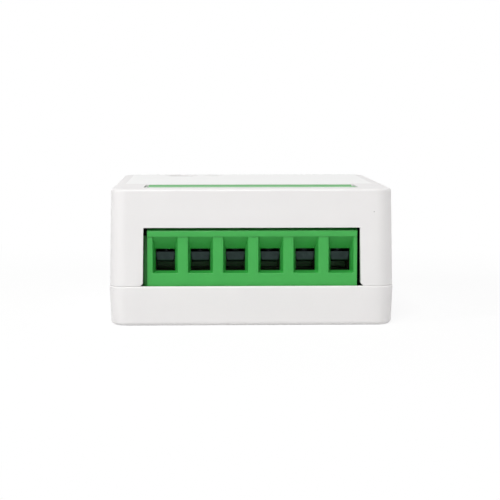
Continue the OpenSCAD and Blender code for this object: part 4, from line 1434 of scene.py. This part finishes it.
@dataclass
class Studio:
    """Floor, light and camera.

    Lamps are given as name, place, size and power. The low back lamp lights the back wall and leaves no shine
    of its own on the roof.
    """

    camera_mm: Triple = (-6.94, -242.0, 31.8)
    pitch_deg: float = 5.443
    yaw_deg: float = 1.734
    lens: float = 112.5
    sensor: float = 36.0
    clip_m: Pair = (0.01, 20.0)
    floor_half: float = 900.0
    floor_shade: float = 0.13
    floor_tone: float = 0.79
    shade_mm: Pair = (40.0, 110.0)
    ambient: float = 0.3
    aim_mm: Triple = (0.0, 0.0, 10.0)
    lamps_mm: tuple[tuple[str, Triple, float, float], ...] = (
        ("key_lamp", (-471.0, -272.0, 254.0), 160.0, 0.95),
        ("fill_lamp", (250.0, -400.0, 130.0), 300.0, 0.08),
        ("top_lamp", (-60.0, -320.0, 440.0), 160.0, 1.65),
        ("side_lamp", (500.0, 60.0, 60.0), 300.0, 0.52),
        ("back_lamp", (-150.0, 480.0, 40.0), 200.0, 0.75),
    )

    def build(self) -> None:
        """Sets up the whole stage."""
        self.camera()
        self.floor()
        self.world()
        self.lamps()
        bpy.context.scene.view_settings.view_transform = "Standard"

    def camera(self) -> None:
        """Stands the camera at the photograph's viewing angle."""
        data = bpy.data.cameras.new("camera")
        data.lens = self.lens
        data.sensor_width = self.sensor
        data.clip_start, data.clip_end = self.clip_m
        stand = bpy.data.objects.new("camera", data)
        stand.location = Vector(self.camera_mm) * MM
        stand.rotation_euler = Euler((math.radians(90 - self.pitch_deg), 0.0, math.radians(-self.yaw_deg)))
        bpy.context.scene.collection.objects.link(stand)
        bpy.context.scene.camera = stand

    def floor(self) -> None:
        """Lays a white floor that keeps the shadow and looks white to the camera."""
        reach = self.floor_half * MM
        mesh = bpy.data.meshes.new("floor")
        mesh.from_pydata([(-reach, -reach, 0), (reach, -reach, 0), (reach, reach, 0), (-reach, reach, 0)], [],
                         [(0, 1, 2, 3)])
        ground = bpy.data.objects.new("floor", mesh)
        bpy.context.scene.collection.objects.link(ground)
        material = bpy.data.materials.new("white_paper_floor")
        material.use_nodes = True
        tree = material.node_tree
        tree.nodes.clear()
        seen = self.seen(tree)
        tone = add_node(tree, "ShaderNodeMapRange", {"Value": seen, "To Min": self.floor_tone, "To Max": 1.0})
        matt = add_node(tree, "ShaderNodeBsdfDiffuse", {"Color": tone.outputs["Result"]})
        glow = add_node(tree, "ShaderNodeEmission", {"Color": WHITE, "Strength": 1.0})
        place = add_node(tree, "ShaderNodeTexCoord").outputs["Object"]
        far = add_node(tree, "ShaderNodeVectorMath", {0: place}, operation="LENGTH")
        near, wide = self.shade_mm
        paper = add_node(tree, "ShaderNodeMapRange", {
            "Value": far.outputs["Value"], "From Min": near * MM, "From Max": wide * MM,
            "To Min": 1.0 - self.floor_shade, "To Max": 1.0}, interpolation_type="SMOOTHSTEP")
        share = add_node(tree, "ShaderNodeMath", {0: paper.outputs["Result"], 1: seen}, operation="MULTIPLY")
        mixed = add_node(tree, "ShaderNodeMixShader", {
            0: share.outputs[0], 1: matt.outputs[0], 2: glow.outputs[0]})
        add_node(tree, "ShaderNodeOutputMaterial", {"Surface": mixed.outputs[0]})
        mesh.materials.append(material)

    @staticmethod
    def seen(tree: Tree) -> Socket:
        """Tells rays that show a surface, straight or by reflection, from rays that only carry its light.

        Args:
            tree: The tree that gets the nodes.

        Returns:
            A socket that is 1 for camera, glossy and transmission rays.
        """
        rays = add_node(tree, "ShaderNodeLightPath").outputs
        seen = rays["Is Camera Ray"]
        for kind in ("Is Glossy Ray", "Is Transmission Ray"):
            seen = add_node(tree, "ShaderNodeMath", {0: seen, 1: rays[kind]}, operation="MAXIMUM").outputs[0]
        return seen

    def world(self) -> None:
        """Gives an even pale surround that the camera sees as white."""
        world = bpy.data.worlds.new("studio")
        bpy.context.scene.world = world
        world.use_nodes = True
        tree = world.node_tree
        tree.nodes.clear()
        strength = add_node(tree, "ShaderNodeMapRange", {
            "Value": self.seen(tree), "To Min": self.ambient, "To Max": 1.0})
        back = add_node(tree, "ShaderNodeBackground", {
            "Color": WHITE, "Strength": strength.outputs["Result"]})
        add_node(tree, "ShaderNodeOutputWorld", {"Surface": back.outputs[0]})

    def lamps(self) -> None:
        """Hangs the soft lamps: key and fill in front, one above, one at the right and a low one behind."""
        for name, place, size, power in self.lamps_mm:
            data = bpy.data.lights.new(name, "AREA")
            data.size = size * MM
            data.energy = power
            lamp = bpy.data.objects.new(name, data)
            lamp.location = Vector(place) * MM
            aim = Vector(self.aim_mm) * MM - lamp.location
            lamp.rotation_euler = aim.to_track_quat("-Z", "Y").to_euler()
            lamp.visible_glossy = name != "back_lamp"
            bpy.context.scene.collection.objects.link(lamp)


def main() -> None:
    """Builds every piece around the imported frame."""
    logging.basicConfig(level=logging.INFO, format="%(message)s")
    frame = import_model()
    Studio().build()
    UpperShell().build()
    LowerShell().build()
    TerminalBlock().build()
    WireClamp().build()
    RoofControls().build()
    Circuit(frame).build()


if __name__ == "__main__":
    main()
